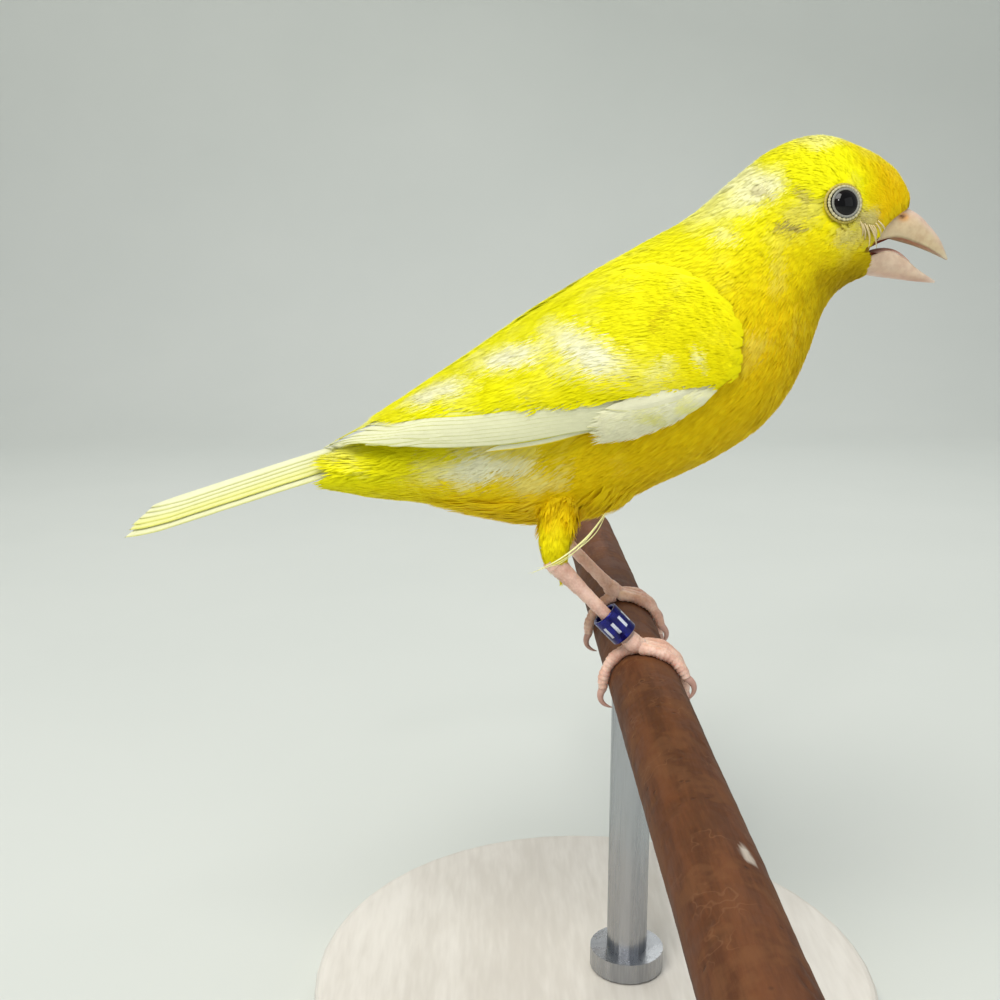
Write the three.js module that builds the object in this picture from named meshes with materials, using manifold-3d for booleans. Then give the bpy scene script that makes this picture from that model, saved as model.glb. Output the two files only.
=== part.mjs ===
// A life-size canary that grips a round wooden perch, held on a plain display stand.
// Millimetres. +X is the way the bird faces, +Y its left side, +Z up.
// The bird has its own frame, with its origin PERCH_DROP above the perch's axis, midway between the feet.
import * as THREE from 'three';
import { mergeVertices } from 'three/addons/utils/BufferGeometryUtils.js';
import Module from 'manifold-3d';

const wasm = await Module();
wasm.setup();
const { Manifold, Mesh: SolidMesh } = wasm;

// Stand and perch
const PERCH_RADIUS = 4.7;
const PERCH_NEAR_END = -90;
const PERCH_FAR_END = 76;
const PERCH_CHAMFER = 0.5;
const BASE_RADIUS = 42;
const BASE_HEIGHT = 6;
const BASE_ROUNDING = 1.2;
const ROD_RADIUS = 3;
const ROD_COLLAR_RADIUS = 5.5;
const ROD_COLLAR_HEIGHT = 3;
const PERCH_HEIGHT = 55.5;
const BIRD_FORWARD = 5;
// How far the perch's axis lies below the bird frame's origin
const PERCH_DROP = 1.5;
const GAP = 0.32;

// Body sections from face to tail: top x, top z, bottom x, bottom z, half width, share of height at the widest
const BODY_SECTIONS = [
  [35.9, 61.2, 31.2, 52.3, 3.5, 0.50],
  [35.0, 63.6, 29.6, 51.6, 4.6, 0.48],
  [32.6, 66.6, 28.0, 51.0, 6.1, 0.46],
  [28.4, 68.9, 26.4, 50.1, 7.5, 0.46],
  [22.6, 70.4, 24.9, 48.6, 8.4, 0.45],
  [16.8, 68.6, 23.7, 46.3, 9.0, 0.45],
  [11.6, 64.6, 22.9, 43.5, 9.9, 0.46],
  [6.0, 59.8, 21.9, 40.7, 11.6, 0.47],
  [-0.4, 56.2, 19.9, 36.4, 13.4, 0.47],
  [-7.2, 52.4, 16.0, 31.6, 14.6, 0.47],
  [-14.2, 47.8, 10.0, 27.6, 14.8, 0.46],
  [-21.0, 42.6, 2.4, 23.9, 14.0, 0.46],
  [-27.2, 38.2, -6.6, 19.6, 12.2, 0.46],
  [-32.6, 34.2, -16.6, 18.9, 9.6, 0.47],
  [-37.0, 31.2, -27.4, 20.9, 7.2, 0.50],
  [-41.4, 28.9, -36.4, 21.9, 5.5, 0.50],
  [-46.4, 27.0, -44.6, 23.2, 4.4, 0.50],
];
const BODY_ROUNDNESS = 2.15;
const HEAD_END = 5.2;
const NECK_END = 7.4;
const TORSO_END = 12.4;
const RUMP_END = 16;
const BODY_SIDES = 28;
const BODY_STEP = 0.5;
const TRUNK_CUT_SIDES = 20;
const TRUNK_CUT_STEP = 0.8;
const TRUNK_CUT_GROWTH = 0.8;

// The back sinks by this much under the folded wings, between these two sections
const WING_SEAT = 1.7;
const WING_SEAT_START = 8.6;
const WING_SEAT_FULL = 11.4;

// Folded wing, from its front to its tip, every 6 mm: top z, half width, z of the widest line, reach below it
const WING_FRONT = 14;
const WING_PITCH = 6;
const WING_SECTIONS = [
  [54.5, 14.6, 40.8, 12],
  [57.6, 16.4, 40.2, 12],
  [57.2, 17.4, 39.1, 12],
  [54.7, 17.9, 38.0, 12],
  [50.9, 17.9, 36.6, 12],
  [46.8, 17.2, 35.1, 11],
  [42.5, 15.6, 33.8, 9.5],
  [38.5, 13.5, 32.5, 8],
  [34.5, 10.8, 31.2, 6],
  [30.9, 7.6, 29.5, 4],
  [28.2, 4.6, 27.8, 2.5],
];
const WING_ROUNDNESS = 2.2;
const WING_INNER_DEPTH = 5;

// The fleshy arm of the folded wing: x, lower edge angle, upper edge angle
const ARM_OUTLINE = [
  [11.7, 84, 76],
  [10.6, 96, 62],
  [6.6, 103, 48],
  [1.0, 112, 38],
  [-5.0, 111, 27],
  [-11.0, 106, 19],
  [-17.0, 103, 13],
  [-23.0, 100, 9],
];
const ARM_DEPTH = 0.75;
const ARM_EDGE_DROP = 1.8;
const ARM_STEPS = 9;
const ARM_SIDES = 6;

// Head details
const EYE = { station: 3.75, angle: 78, radius: 2.5, depth: 1.9 };
const LID = { inner: 1.7, rim: 2.05, outer: 3.05, height: 0.35, root: 0.75 };
const NOSTRIL = { x: 34.0, y: 2.75, z: 59.9, radius: 0.5 };
const GAPE = { x: 28.9, z: 55.55 };

// Bill sections from its root to its tip: ridge x, z, cutting edge x, z, half width
const UPPER_BILL = [
  [32.4, 61.9, 29.0, 56.3, 3.9],
  [36.0, 60.5, 32.6, 57.1, 3.3],
  [38.2, 58.7, 35.8, 56.4, 2.4],
  [39.9, 56.7, 38.5, 55.4, 1.35],
  [41.1, 54.3, 40.9, 54.15, 0.15],
];
const LOWER_BILL = [
  [29.6, 52.3, 29.2, 54.6, 3.5],
  [31.9, 51.9, 31.8, 55.4, 3.3],
  [34.3, 51.6, 34.1, 54.6, 2.7],
  [36.9, 51.3, 36.5, 53.0, 1.7],
  [39.5, 51.1, 39.6, 51.35, 0.15],
];
const HOLLOW = 0.3;
const TONGUE = { start: [30.9, 55.75], middle: [33.6, 56.2], end: [36.0, 54.8], width: 0.9, thickness: 0.3 };

// Legs
const FOOT_SPREAD = 12.5;
const HIP = { x: -10.2, y: 7.0, z: 25.0, radius: 3.6 };
const THIGH = { x: -11.7, y: 10.0, z: 21.2, radius: 2.8 };
const KNEE = { x: -12.3, z: 17.6, radius: 2.3 };
const CUFF = { x: -11.8, z: 14.8, radius: 1.6 };
const HEEL = { x: -11.7, z: 15.0, radius: 1.35 };
const ANKLE = { x: -1.5, z: 4.4, radius: 1.15 };
const SHANK_RADIUS = 0.95;
const TOE_RADIUS = 0.9;
const KNUCKLE = 0.1;
const TOE_GRIP = PERCH_RADIUS + TOE_RADIUS * (1 + KNUCKLE) + GAP;
const CLAW_LENGTH = 3.2;
// Toes of one foot: angle round the perch at the root and tip, sideways reach at the root and tip
const TOES = [
  { name: 'hallux', from: 108, to: 186, root: 0.4, reach: 0.9, turn: 1 },
  { name: 'outer', from: 96, to: 22, root: -0.6, reach: -2.6, turn: -1 },
  { name: 'middle', from: 96, to: -8, root: 0.0, reach: 0.2, turn: -1 },
  { name: 'inner', from: 96, to: 14, root: 0.6, reach: 2.9, turn: -1 },
];

// Closed ring on the right leg
const RING = { outer: 1.9, inner: 1.48, length: 4.0, fromAnkle: 3.9, sag: 0.1 };

// Tail
const TAIL = {
  root: [-45.0, 27.5],
  pitch: 17.9,
  bank: 8,
  pairs: 6,
  innerLength: 23.2,
  fork: 0.85,
  rootSpread: 0.5,
  tipSpread: 1.2,
  layer: 0.4,
  width: 1.75,
  thickness: 0.8,
  rootSink: 1.95,
  stubWidth: 0.92,
  stubLength: 6,
  stubRise: 1.6,
};

// Seeded draw, so that feathers vary alike each time
let seed = 41;
function draw() {
  seed = (seed * 1103515245 + 12345) % 2147483648;
  return seed / 2147483648;
}
function vary(value, share) {
  return value * (1 + share * (2 * draw() - 1));
}

const vec = (x, y, z) => new THREE.Vector3(x, y, z);
const radians = THREE.MathUtils.degToRad;
const { lerp, clamp, smoothstep } = THREE.MathUtils;

// Smooth curve through rows of numbers, read at a fractional row
function readRows(rows, index) {
  const last = rows.length - 1;
  const i = Math.floor(clamp(index, 0, last - 1e-6));
  const t = index - i;
  const row = (k) => rows[clamp(i + k, 0, last)];
  return rows[0].map((_, c) => {
    const [a, b, d, e] = [row(-1)[c], row(0)[c], row(1)[c], row(2)[c]];
    return 0.5 * (2 * b + t * (d - a) + t * t * (2 * a - 5 * b + 4 * d - e) + t ** 3 * (3 * b - a - 3 * d + e));
  });
}

// Power of a sine or cosine that keeps its sign, for superellipse sections
function signedPower(value, roundness) {
  return Math.sign(value) * Math.abs(value) ** (2 / roundness);
}

// Point of the body at a section number and an angle from the back, 180 at the belly, right side first
function bodyPoint(section, angle, grow = 0) {
  const [tx, tz, bx, bz, half, share] = readRows(BODY_SECTIONS, section);
  const height = Math.hypot(tx - bx, tz - bz);
  const up = vec((tx - bx) / height, 0, (tz - bz) / height);
  const seat = WING_SEAT * smoothstep(section, WING_SEAT_START, WING_SEAT_FULL);
  const middle = vec(bx, 0, bz).addScaledVector(up, height * share);
  const above = height * (1 - share) - seat + grow;
  const below = height * share + grow;
  const rise = signedPower(Math.cos(angle), BODY_ROUNDNESS);
  const side = signedPower(Math.sin(angle), BODY_ROUNDNESS);
  const point = middle.addScaledVector(up, rise * (rise > 0 ? above : below));
  point.y = -(half + grow) * side;
  return point;
}

// Point of the folded right wing at a distance along the body and an angle from the top, sunk by a depth
function wingPoint(x, degrees, depth = 0) {
  const [top, half, widest, below] = readRows(WING_SECTIONS, (WING_FRONT - x) / WING_PITCH);
  const angle = radians(degrees);
  const rise = signedPower(Math.cos(angle), WING_ROUNDNESS);
  const side = signedPower(Math.sin(angle), WING_ROUNDNESS);
  const reach = rise > 0 ? top - widest - depth : below;
  return vec(x, -(half - depth) * side, widest + reach * rise);
}

// Closed body through rings of points; from a given side on, faces are split the other way
function loft(rings, flipFrom = Infinity) {
  const count = rings[0].length;
  const positions = [];
  const faces = [];
  for (const ring of rings) ring.forEach((p) => positions.push(p.x, p.y, p.z));
  for (let k = 0; k + 1 < rings.length; k += 1) {
    for (let j = 0; j < count; j += 1) {
      const [a, b] = [k * count + j, k * count + (j + 1) % count];
      const [c, d] = [a + count, b + count];
      if (j < flipFrom) faces.push(a, b, d, a, d, c);
      else faces.push(a, b, c, b, d, c);
    }
  }
  for (const [ring, start, turn] of [[rings[0], 0, true], [rings.at(-1), (rings.length - 1) * count, false]]) {
    const centre = ring.reduce((sum, p) => sum.add(p), vec(0, 0, 0)).divideScalar(count);
    const hub = positions.length / 3;
    positions.push(centre.x, centre.y, centre.z);
    for (let j = 0; j < count; j += 1) {
      const [b, c] = [start + j, start + ((j + 1) % count)];
      faces.push(...(turn ? [hub, c, b] : [hub, b, c]));
    }
  }
  const geometry = new THREE.BufferGeometry();
  geometry.setAttribute('position', new THREE.BufferAttribute(new Float32Array(positions), 3));
  geometry.setIndex(faces);
  return outward(geometry);
}

// Turns a closed mesh right side out where its volume comes out negative
function outward(geometry) {
  const { array } = geometry.getAttribute('position');
  const index = Array.from(geometry.getIndex().array);
  const corner = (i) => vec(array[3 * i], array[3 * i + 1], array[3 * i + 2]);
  let volume = 0;
  for (let i = 0; i < index.length; i += 3) {
    volume += corner(index[i]).dot(corner(index[i + 1]).cross(corner(index[i + 2])));
  }
  if (volume < 0) {
    for (let i = 0; i < index.length; i += 3) [index[i + 1], index[i + 2]] = [index[i + 2], index[i + 1]];
    geometry.setIndex(index);
  }
  return geometry;
}

function bare(geometry) {
  const copy = geometry.clone();
  copy.deleteAttribute('normal');
  copy.deleteAttribute('uv');
  return copy;
}

function toSolid(geometry) {
  const merged = mergeVertices(bare(geometry), 1e-4);
  return new Manifold(new SolidMesh({
    numProp: 3,
    vertProperties: new Float32Array(merged.getAttribute('position').array),
    triVerts: new Uint32Array(merged.getIndex().array),
  }));
}

function toGeometry(solid) {
  const mesh = solid.getMesh();
  const geometry = new THREE.BufferGeometry();
  geometry.setAttribute('position', new THREE.BufferAttribute(new Float32Array(mesh.vertProperties), 3));
  geometry.setIndex(Array.from(mesh.triVerts));
  return geometry;
}

function join(solids) {
  return solids.reduce((sum, solid) => sum.add(solid));
}

// The largest closed surface of a solid, without loose scraps
function largest(solid) {
  const pieces = solid.decompose();
  return pieces.reduce((best, piece) => (piece.volume() > best.volume() ? piece : best));
}

function mirrored(geometry) {
  const copy = geometry.clone();
  copy.scale(1, -1, 1);
  return outward(copy);
}

// Body between two sections; its first face stands clear of the part before it
function bodyRings(start, end, { grow = 0, step = BODY_STEP, sides = BODY_SIDES } = {}) {
  const count = Math.max(1, Math.round((end - start) / step));
  return Array.from({ length: count + 1 }, (_, k) => {
    const section = lerp(start, end, k / count);
    return Array.from({ length: sides }, (_, j) => bodyPoint(section, (2 * Math.PI * j) / sides, grow));
  });
}

// The way that a ring of points faces, towards the tail
function backward(ring) {
  const third = Math.floor(ring.length / 3);
  const normal = ring[third].clone().sub(ring[0]).cross(ring[2 * third].clone().sub(ring[0])).normalize();
  return normal.x > 0 ? normal.negate() : normal;
}

function bodyPart(start, end) {
  const rings = bodyRings(start, end);
  if (start > 0) {
    const away = backward(rings[0]);
    rings[0].forEach((p) => p.addScaledVector(away, GAP));
  }
  return toSolid(loft(rings));
}

// The trunk with a clearance all round, to cut what rests on it
const trunkClearance = toSolid(loft(bodyRings(HEAD_END, RUMP_END, {
  grow: TRUNK_CUT_GROWTH,
  step: TRUNK_CUT_STEP,
  sides: TRUNK_CUT_SIDES,
})));

// One feather laid on a surface: rings of its two upper edges and the two below them
function vane(surface, feather) {
  const { root, tip, width, rootDepth, tipDepth = 0, settle = 1, bend = 0, tilt = 0, thickness = 0.6 } = feather;
  const { stations = [0, 0.4, 0.75, 0.94, 1] } = feather;
  const small = 0.05;
  const at = (t) => [lerp(root[0], tip[0], t), lerp(root[1], tip[1], t) + bend * 4 * t * (1 - t)];
  const depthAt = (t) => tipDepth + (rootDepth - tipDepth) * Math.max(0, 1 - t / settle) ** 1.5;
  const rings = stations.map((t) => {
    const [u, v] = at(t);
    const depth = depthAt(t);
    const alongU = surface(u + small, v, depth).sub(surface(u - small, v, depth)).divideScalar(2 * small);
    const alongV = surface(u, v + small, depth).sub(surface(u, v - small, depth)).divideScalar(2 * small);
    const [before, after] = [at(Math.max(0, t - small)), at(Math.min(1, t + small))];
    const along = surface(...after, depth).sub(surface(...before, depth)).normalize();
    const normal = alongU.clone().cross(alongV).normalize();
    const across = normal.clone().cross(along).normalize();
    const round = t > 0.6 ? Math.sqrt(Math.max(0.02, 1 - ((t - 0.6) / 0.4) ** 2)) : 1;
    const half = width * Math.min(1, 0.6 + 1.6 * t) * round;
    const thick = thickness * (0.4 + 0.6 * round);
    const edge = (side, below) => {
      const shift = across.clone().multiplyScalar(side * half);
      const [du, dv] = [shift.dot(alongU) / alongU.lengthSq(), shift.dot(alongV) / alongV.lengthSq()];
      return surface(u + du, v + dv, depth + tilt * (1 + side) / 2 + below);
    };
    return [edge(-1, 0), edge(1, 0), edge(1, thick), edge(-1, thick)];
  });
  return toSolid(loft(rings, 2));
}

// A tier of like feathers, from its first to its last
function tier(surface, { count, first, last, ...rest }) {
  return Array.from({ length: count }, (_, i) => {
    const f = count > 1 ? i / (count - 1) : 0;
    const mix = (key, k) => lerp(first[key][k], last[key][k], f);
    return vane(surface, {
      ...rest,
      root: [mix('root', 0), mix('root', 1)],
      tip: [mix('tip', 0) + 0.5 * (draw() - 0.5), mix('tip', 1)],
      width: vary(lerp(first.width, last.width, f), 0.06),
    });
  });
}

// The arm of the folded wing: a low cushion whose edges sink into the flank
function wingArm() {
  const rows = Array.from({ length: ARM_STEPS + 1 }, (_, k) => {
    const [x, low, high] = readRows(ARM_OUTLINE, ((ARM_OUTLINE.length - 1) * k) / ARM_STEPS);
    const fade = (2 * k) / ARM_STEPS - 1;
    const outer = Array.from({ length: ARM_SIDES + 1 }, (_, j) => {
      const swing = (2 * j) / ARM_SIDES - 1;
      const drop = ARM_EDGE_DROP * Math.max(Math.abs(swing) ** 5, Math.abs(fade) ** 8);
      return wingPoint(x, lerp(low, high, j / ARM_SIDES), ARM_DEPTH + drop);
    });
    const inner = [high, (low + high) / 2, low].map((angle) => wingPoint(x, angle, WING_INNER_DEPTH));
    return [...outer, ...inner];
  });
  return toSolid(loft(rows));
}

// Flight feathers and coverts of the folded right wing, in tiers from the outermost primary to the scapulars
function wingFeathers() {
  const remex = { rootDepth: 1.6, settle: 0.45, tilt: 0.7 };
  const covert = { rootDepth: 1.5, tilt: 0.7 };
  const primaries = Array.from({ length: 6 }, (_, i) => {
    const f = i / 5;
    const tipX = f < 0.4 ? lerp(-34, -43.4, f / 0.4) : lerp(-43.4, -39.5, (f - 0.4) / 0.6);
    return vane(wingPoint, {
      ...remex,
      root: [-3 - 2 * f, lerp(107, 95, f)],
      tip: [tipX, lerp(99, 70, f)],
      bend: lerp(2, 5, f),
      width: 0.95,
    });
  });
  const secondaries = tier(wingPoint, {
    ...remex,
    count: 3,
    first: { root: [-4, 92], tip: [-37.5, 62], width: 1.15 },
    last: { root: [-6, 82], tip: [-34.5, 48], width: 1.5 },
    bend: 5,
  });
  const tertials = tier(wingPoint, {
    ...remex,
    count: 4,
    first: { root: [-7, 75], tip: [-30.5, 55], width: 2.3 },
    last: { root: [-16, 14], tip: [-38, 13], width: 1.7 },
    bend: 2,
  });
  const greaterCoverts = tier(wingPoint, {
    ...covert,
    count: 5,
    first: { root: [1, 99], tip: [-12, 92], width: 1.8 },
    last: { root: [-4, 56], tip: [-19, 52], width: 2.2 },
  });
  const medianCoverts = tier(wingPoint, {
    ...covert,
    count: 4,
    first: { root: [6, 90], tip: [-4, 88], width: 2.2 },
    last: { root: [3, 52], tip: [-10, 48], width: 2.4 },
  });
  const lesserCoverts = tier(wingPoint, {
    ...covert,
    count: 3,
    first: { root: [9.8, 87], tip: [2, 90], width: 2.4 },
    last: { root: [8.6, 62], tip: [-1.5, 58], width: 2.6 },
  });
  const scapulars = tier(wingPoint, {
    ...covert,
    count: 4,
    first: { root: [3, 47], tip: [-12, 44], width: 2.9 },
    last: { root: [-14, 12], tip: [-30, 11], width: 2.0 },
    tilt: 0.4,
  });
  const primaryCoverts = tier(wingPoint, {
    ...covert,
    count: 3,
    first: { root: [9.5, 94], tip: [-8.5, 107], width: 1.5 },
    last: { root: [9.5, 88], tip: [-4, 98], width: 1.5 },
    bend: 2,
  });
  return [
    ...primaries, ...secondaries, ...tertials, ...greaterCoverts,
    ...medianCoverts, ...lesserCoverts, ...scapulars, ...primaryCoverts,
  ];
}

function rightWing() {
  const midline = new THREE.BoxGeometry(120, 20, 120);
  midline.translate(0, 10 - GAP / 2, 40);
  const whole = join([wingArm(), ...wingFeathers()]);
  return toGeometry(largest(whole.subtract(trunkClearance).subtract(toSolid(midline))));
}

// Where the right eye sits, and the way that it looks
function eyePlace() {
  const [s, a] = [EYE.station, radians(EYE.angle)];
  const small = 0.01;
  const middle = bodyPoint(s, a);
  const along = bodyPoint(s + small, a).sub(middle);
  const around = bodyPoint(s, a + small).sub(middle);
  const normal = along.cross(around).normalize();
  if (normal.y > 0) normal.negate();
  return { middle, normal };
}

function placeOn(geometry, middle, normal) {
  const turn = new THREE.Quaternion().setFromUnitVectors(vec(0, 0, 1), normal);
  geometry.applyQuaternion(turn);
  geometry.translate(middle.x, middle.y, middle.z);
  return geometry;
}

function eyeball(extra = 0) {
  const { middle, normal } = eyePlace();
  const ball = new THREE.SphereGeometry(EYE.radius + extra, 14, 9);
  ball.rotateX(Math.PI / 2);
  return placeOn(ball, middle.clone().addScaledVector(normal, -EYE.depth), normal);
}

// The lids: a low bevelled collar round the eye
function eyelid() {
  const { middle, normal } = eyePlace();
  const profile = [
    [LID.inner, LID.height], [LID.inner, -LID.root], [LID.outer, -LID.root], [LID.rim, LID.height],
    [LID.inner, LID.height],
  ].map(([radius, height]) => new THREE.Vector2(radius, height));
  const collar = new THREE.LatheGeometry(profile, 18);
  collar.rotateX(Math.PI / 2);
  return placeOn(outward(mergeVertices(bare(collar))), middle, normal);
}

// Ring of bill points: over the ridge from one cutting edge to the other, then back under its hollow
function billRing([rx, rz, ex, ez, half], grow) {
  const arch = 8;
  const ridge = vec(rx - ex, 0, rz - ez);
  const reach = ridge.length() + 2 * grow;
  ridge.normalize();
  const edge = vec(ex, 0, ez).addScaledVector(ridge, -grow);
  const hollow = grow > 0 ? 0 : HOLLOW;
  const over = Array.from({ length: arch + 1 }, (_, j) => {
    const angle = Math.PI * (j / arch - 0.5);
    const point = edge.clone().addScaledVector(ridge, reach * Math.cos(angle) ** 0.85);
    point.y = (half + grow) * Math.sin(angle);
    return point;
  });
  const under = [0.5, 0, -0.5].map((share) => {
    const point = edge.clone().addScaledVector(ridge, reach * hollow * (1 - share * share));
    point.y = half * share;
    return point;
  });
  return [...over, ...under];
}

// Half of the bill, or with a growth the room that the head leaves for it
function bill(rows, grow = 0, steps = 9) {
  const rings = Array.from({ length: steps + 1 }, (_, k) => {
    return billRing(readRows(rows, ((rows.length - 1) * k) / steps), grow);
  });
  if (grow > 0) rings[0].forEach((p) => p.add(vec(-grow, 0, 0)));
  return toSolid(loft(rings));
}

// The open corner of the mouth: a wedge between the two cutting edges
function gapeWedge() {
  const reach = 7;
  const profile = new THREE.Shape([
    new THREE.Vector2(GAPE.x, GAPE.z + 0.25),
    new THREE.Vector2(UPPER_BILL[1][2], UPPER_BILL[1][3] + 0.2),
    new THREE.Vector2(UPPER_BILL[1][2] + 5, UPPER_BILL[1][3]),
    new THREE.Vector2(LOWER_BILL[1][2] + 5, LOWER_BILL[1][3] - 1.5),
    new THREE.Vector2(LOWER_BILL[1][2], LOWER_BILL[1][3] - 0.2),
    new THREE.Vector2(GAPE.x, GAPE.z - 0.35),
  ]);
  const wedge = new THREE.ExtrudeGeometry(profile, { depth: 2 * reach, bevelEnabled: false });
  wedge.rotateX(Math.PI / 2);
  wedge.translate(0, reach, 0);
  return toSolid(wedge);
}

function head() {
  const lids = [toSolid(eyelid()), toSolid(mirrored(eyelid()))];
  const sockets = [toSolid(eyeball(GAP)), toSolid(mirrored(eyeball(GAP)))];
  let solid = join([bodyPart(0, HEAD_END), ...lids]);
  for (const cut of [...sockets, bill(UPPER_BILL, GAP), bill(LOWER_BILL, GAP), gapeWedge()]) {
    solid = solid.subtract(cut);
  }
  return toGeometry(largest(solid));
}

function upperBill() {
  const nostrils = [-1, 1].map((side) => {
    const hole = new THREE.SphereGeometry(NOSTRIL.radius, 8, 6);
    hole.translate(NOSTRIL.x, side * NOSTRIL.y, NOSTRIL.z);
    return toSolid(hole);
  });
  return toGeometry(largest(bill(UPPER_BILL).subtract(join(nostrils))));
}

// A tapered round limb through points, each with its own radius
function limb(nodes, sides = 10, steps = 8, flatten = 1) {
  const rings = Array.from({ length: steps + 1 }, (_, k) => {
    const at = ((nodes.length - 1) * k) / steps;
    const [x, y, z, radius] = readRows(nodes, at);
    const ahead = readRows(nodes, Math.min(at + 0.02, nodes.length - 1));
    const behind = readRows(nodes, Math.max(at - 0.02, 0));
    const along = vec(ahead[0] - behind[0], ahead[1] - behind[1], ahead[2] - behind[2]).normalize();
    const across = vec(0, 1, 0).addScaledVector(along, -along.y).normalize();
    const over = along.clone().cross(across);
    return Array.from({ length: sides }, (_, j) => {
      const angle = (2 * Math.PI * (j + 0.5)) / sides;
      return vec(x, y, z)
        .addScaledVector(across, radius * flatten * Math.cos(angle))
        .addScaledVector(over, radius * Math.sin(angle));
    });
  });
  return loft(rings);
}

const shankWay = vec(ANKLE.x - HEEL.x, 0, ANKLE.z - HEEL.z).normalize();
const shankPoint = (fromAnkle) => vec(ANKLE.x, -FOOT_SPREAD, ANKLE.z).addScaledVector(shankWay, -fromAnkle);

// The feathered thigh, or with a growth the room that the shank leaves for it
function thighSolid(grow = 0) {
  return toSolid(limb([
    [HIP.x, -HIP.y, HIP.z, HIP.radius + grow],
    [THIGH.x, -THIGH.y, THIGH.z, THIGH.radius + grow],
    [KNEE.x, -FOOT_SPREAD, KNEE.z, KNEE.radius + grow],
    [CUFF.x, -FOOT_SPREAD, CUFF.z - grow, CUFF.radius + grow],
  ], 14, 6));
}

function thigh() {
  return toGeometry(largest(thighSolid().subtract(trunkClearance)));
}

function shank() {
  const middle = shankPoint(7);
  const end = shankPoint(1.8);
  const bone = toSolid(limb([
    [HEEL.x, -FOOT_SPREAD, HEEL.z, HEEL.radius],
    [middle.x, -FOOT_SPREAD, middle.z, SHANK_RADIUS],
    [end.x, -FOOT_SPREAD, end.z, ANKLE.radius],
  ], 10, 6));
  return toGeometry(largest(bone.subtract(thighSolid(GAP + 0.05))));
}

// Point on a toe's path round the perch
function gripPoint(degrees, sideways, radius = TOE_GRIP) {
  const angle = radians(degrees);
  return vec(radius * Math.cos(angle), -FOOT_SPREAD + sideways, radius * Math.sin(angle) - PERCH_DROP);
}

function toe({ from, to, root, reach }) {
  const steps = 5;
  const nodes = Array.from({ length: steps + 1 }, (_, k) => {
    const t = k / steps;
    const knuckle = 1 + KNUCKLE * Math.cos(2 * Math.PI * t * 2.5);
    const p = gripPoint(lerp(from, to, t), lerp(root, reach, Math.sqrt(t)));
    return [p.x, p.y, p.z, TOE_RADIUS * lerp(1.0, 0.8, t) * knuckle];
  });
  return toSolid(limb(nodes, 7, 7));
}

function claw({ to, reach, turn }) {
  const swing = (turn * 180 * CLAW_LENGTH) / (Math.PI * TOE_GRIP);
  const gapTurn = (turn * 180 * GAP) / (Math.PI * TOE_GRIP);
  const nodes = [0, 0.5, 1].map((t) => {
    const radius = TOE_GRIP + 0.7 * Math.sin(Math.PI * t) - 0.15 * t;
    const p = gripPoint(to + gapTurn + swing * t, reach, radius);
    return [p.x, p.y, p.z, lerp(0.5, 0.1, t)];
  });
  return limb(nodes, 6, 4, 0.8);
}

function foot() {
  const pad = limb([
    [...shankPoint(1.2).toArray(), ANKLE.radius],
    [ANKLE.x, -FOOT_SPREAD, ANKLE.z, ANKLE.radius + 0.1],
    [ANKLE.x + 0.9, -FOOT_SPREAD, TOE_GRIP + 0.05 - PERCH_DROP, 0.8],
  ], 8, 3, 1.15);
  return toGeometry(largest(join([toSolid(pad), ...TOES.map(toe)])));
}

function legRing() {
  const profile = [
    [RING.inner, -RING.length / 2], [RING.outer, -RING.length / 2],
    [RING.outer, RING.length / 2], [RING.inner, RING.length / 2], [RING.inner, -RING.length / 2],
  ].map(([radius, height]) => new THREE.Vector2(radius, height));
  const ring = new THREE.LatheGeometry(profile, 24);
  const turn = new THREE.Quaternion().setFromUnitVectors(vec(0, 1, 0), shankWay);
  ring.applyQuaternion(turn);
  const middle = shankPoint(RING.fromAnkle);
  ring.translate(middle.x, middle.y, middle.z - RING.sag);
  return ring;
}

function tongue() {
  const { start, middle, end, width, thickness } = TONGUE;
  const nodes = [
    [start[0], 0, start[1], thickness], [middle[0], 0, middle[1], thickness], [end[0], 0, end[1], 0.12],
  ];
  return limb(nodes, 8, 5, width / thickness);
}

// Tail feathers fan from a stub behind the rump; the middle pair lies on top
function tail() {
  const end = bodyRings(RUMP_END - 1, RUMP_END, { step: 1, sides: 14 })[1];
  const centre = end.reduce((sum, p) => sum.add(p), vec(0, 0, 0)).divideScalar(end.length);
  const way = backward(end);
  const stubRings = [0, 0.5, 1].map((t) => end.map((p) => {
    const shrink = lerp(TAIL.stubWidth, TAIL.stubWidth / 2, t * t);
    return p.clone().sub(centre).multiplyScalar(shrink).add(centre).addScaledVector(way, GAP + TAIL.stubLength * t)
      .add(vec(0, 0, TAIL.stubRise * t));
  }));
  const frame = new THREE.Matrix4().makeTranslation(TAIL.root[0], 0, TAIL.root[1])
    .multiply(new THREE.Matrix4().makeRotationY(radians(-TAIL.pitch)))
    .multiply(new THREE.Matrix4().makeRotationX(radians(TAIL.bank)));
  const feathers = [];
  for (let pair = TAIL.pairs - 1; pair >= 0; pair -= 1) {
    for (const side of [-1, 1]) {
      const length = TAIL.innerLength + TAIL.fork * pair + 0.4 * (draw() - 0.5);
      const layer = (x, y, depth) => {
        const drop = TAIL.layer * pair * (0.5 + 0.5 * smoothstep(-x, 0, 10));
        return vec(x, side * y, -depth - drop).applyMatrix4(frame);
      };
      feathers.push(vane(layer, {
        root: [-TAIL.rootSink, 0.3 + TAIL.rootSpread * pair],
        tip: [-length, 1.1 + TAIL.tipSpread * pair],
        width: TAIL.width,
        rootDepth: -0.3,
        tipDepth: -0.9,
        tilt: 0.35,
        thickness: TAIL.thickness,
        stations: [0, 0.35, 0.7, 0.93, 1],
      }));
    }
  }
  return toGeometry(largest(join([toSolid(loft(stubRings)), ...feathers])));
}

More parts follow.
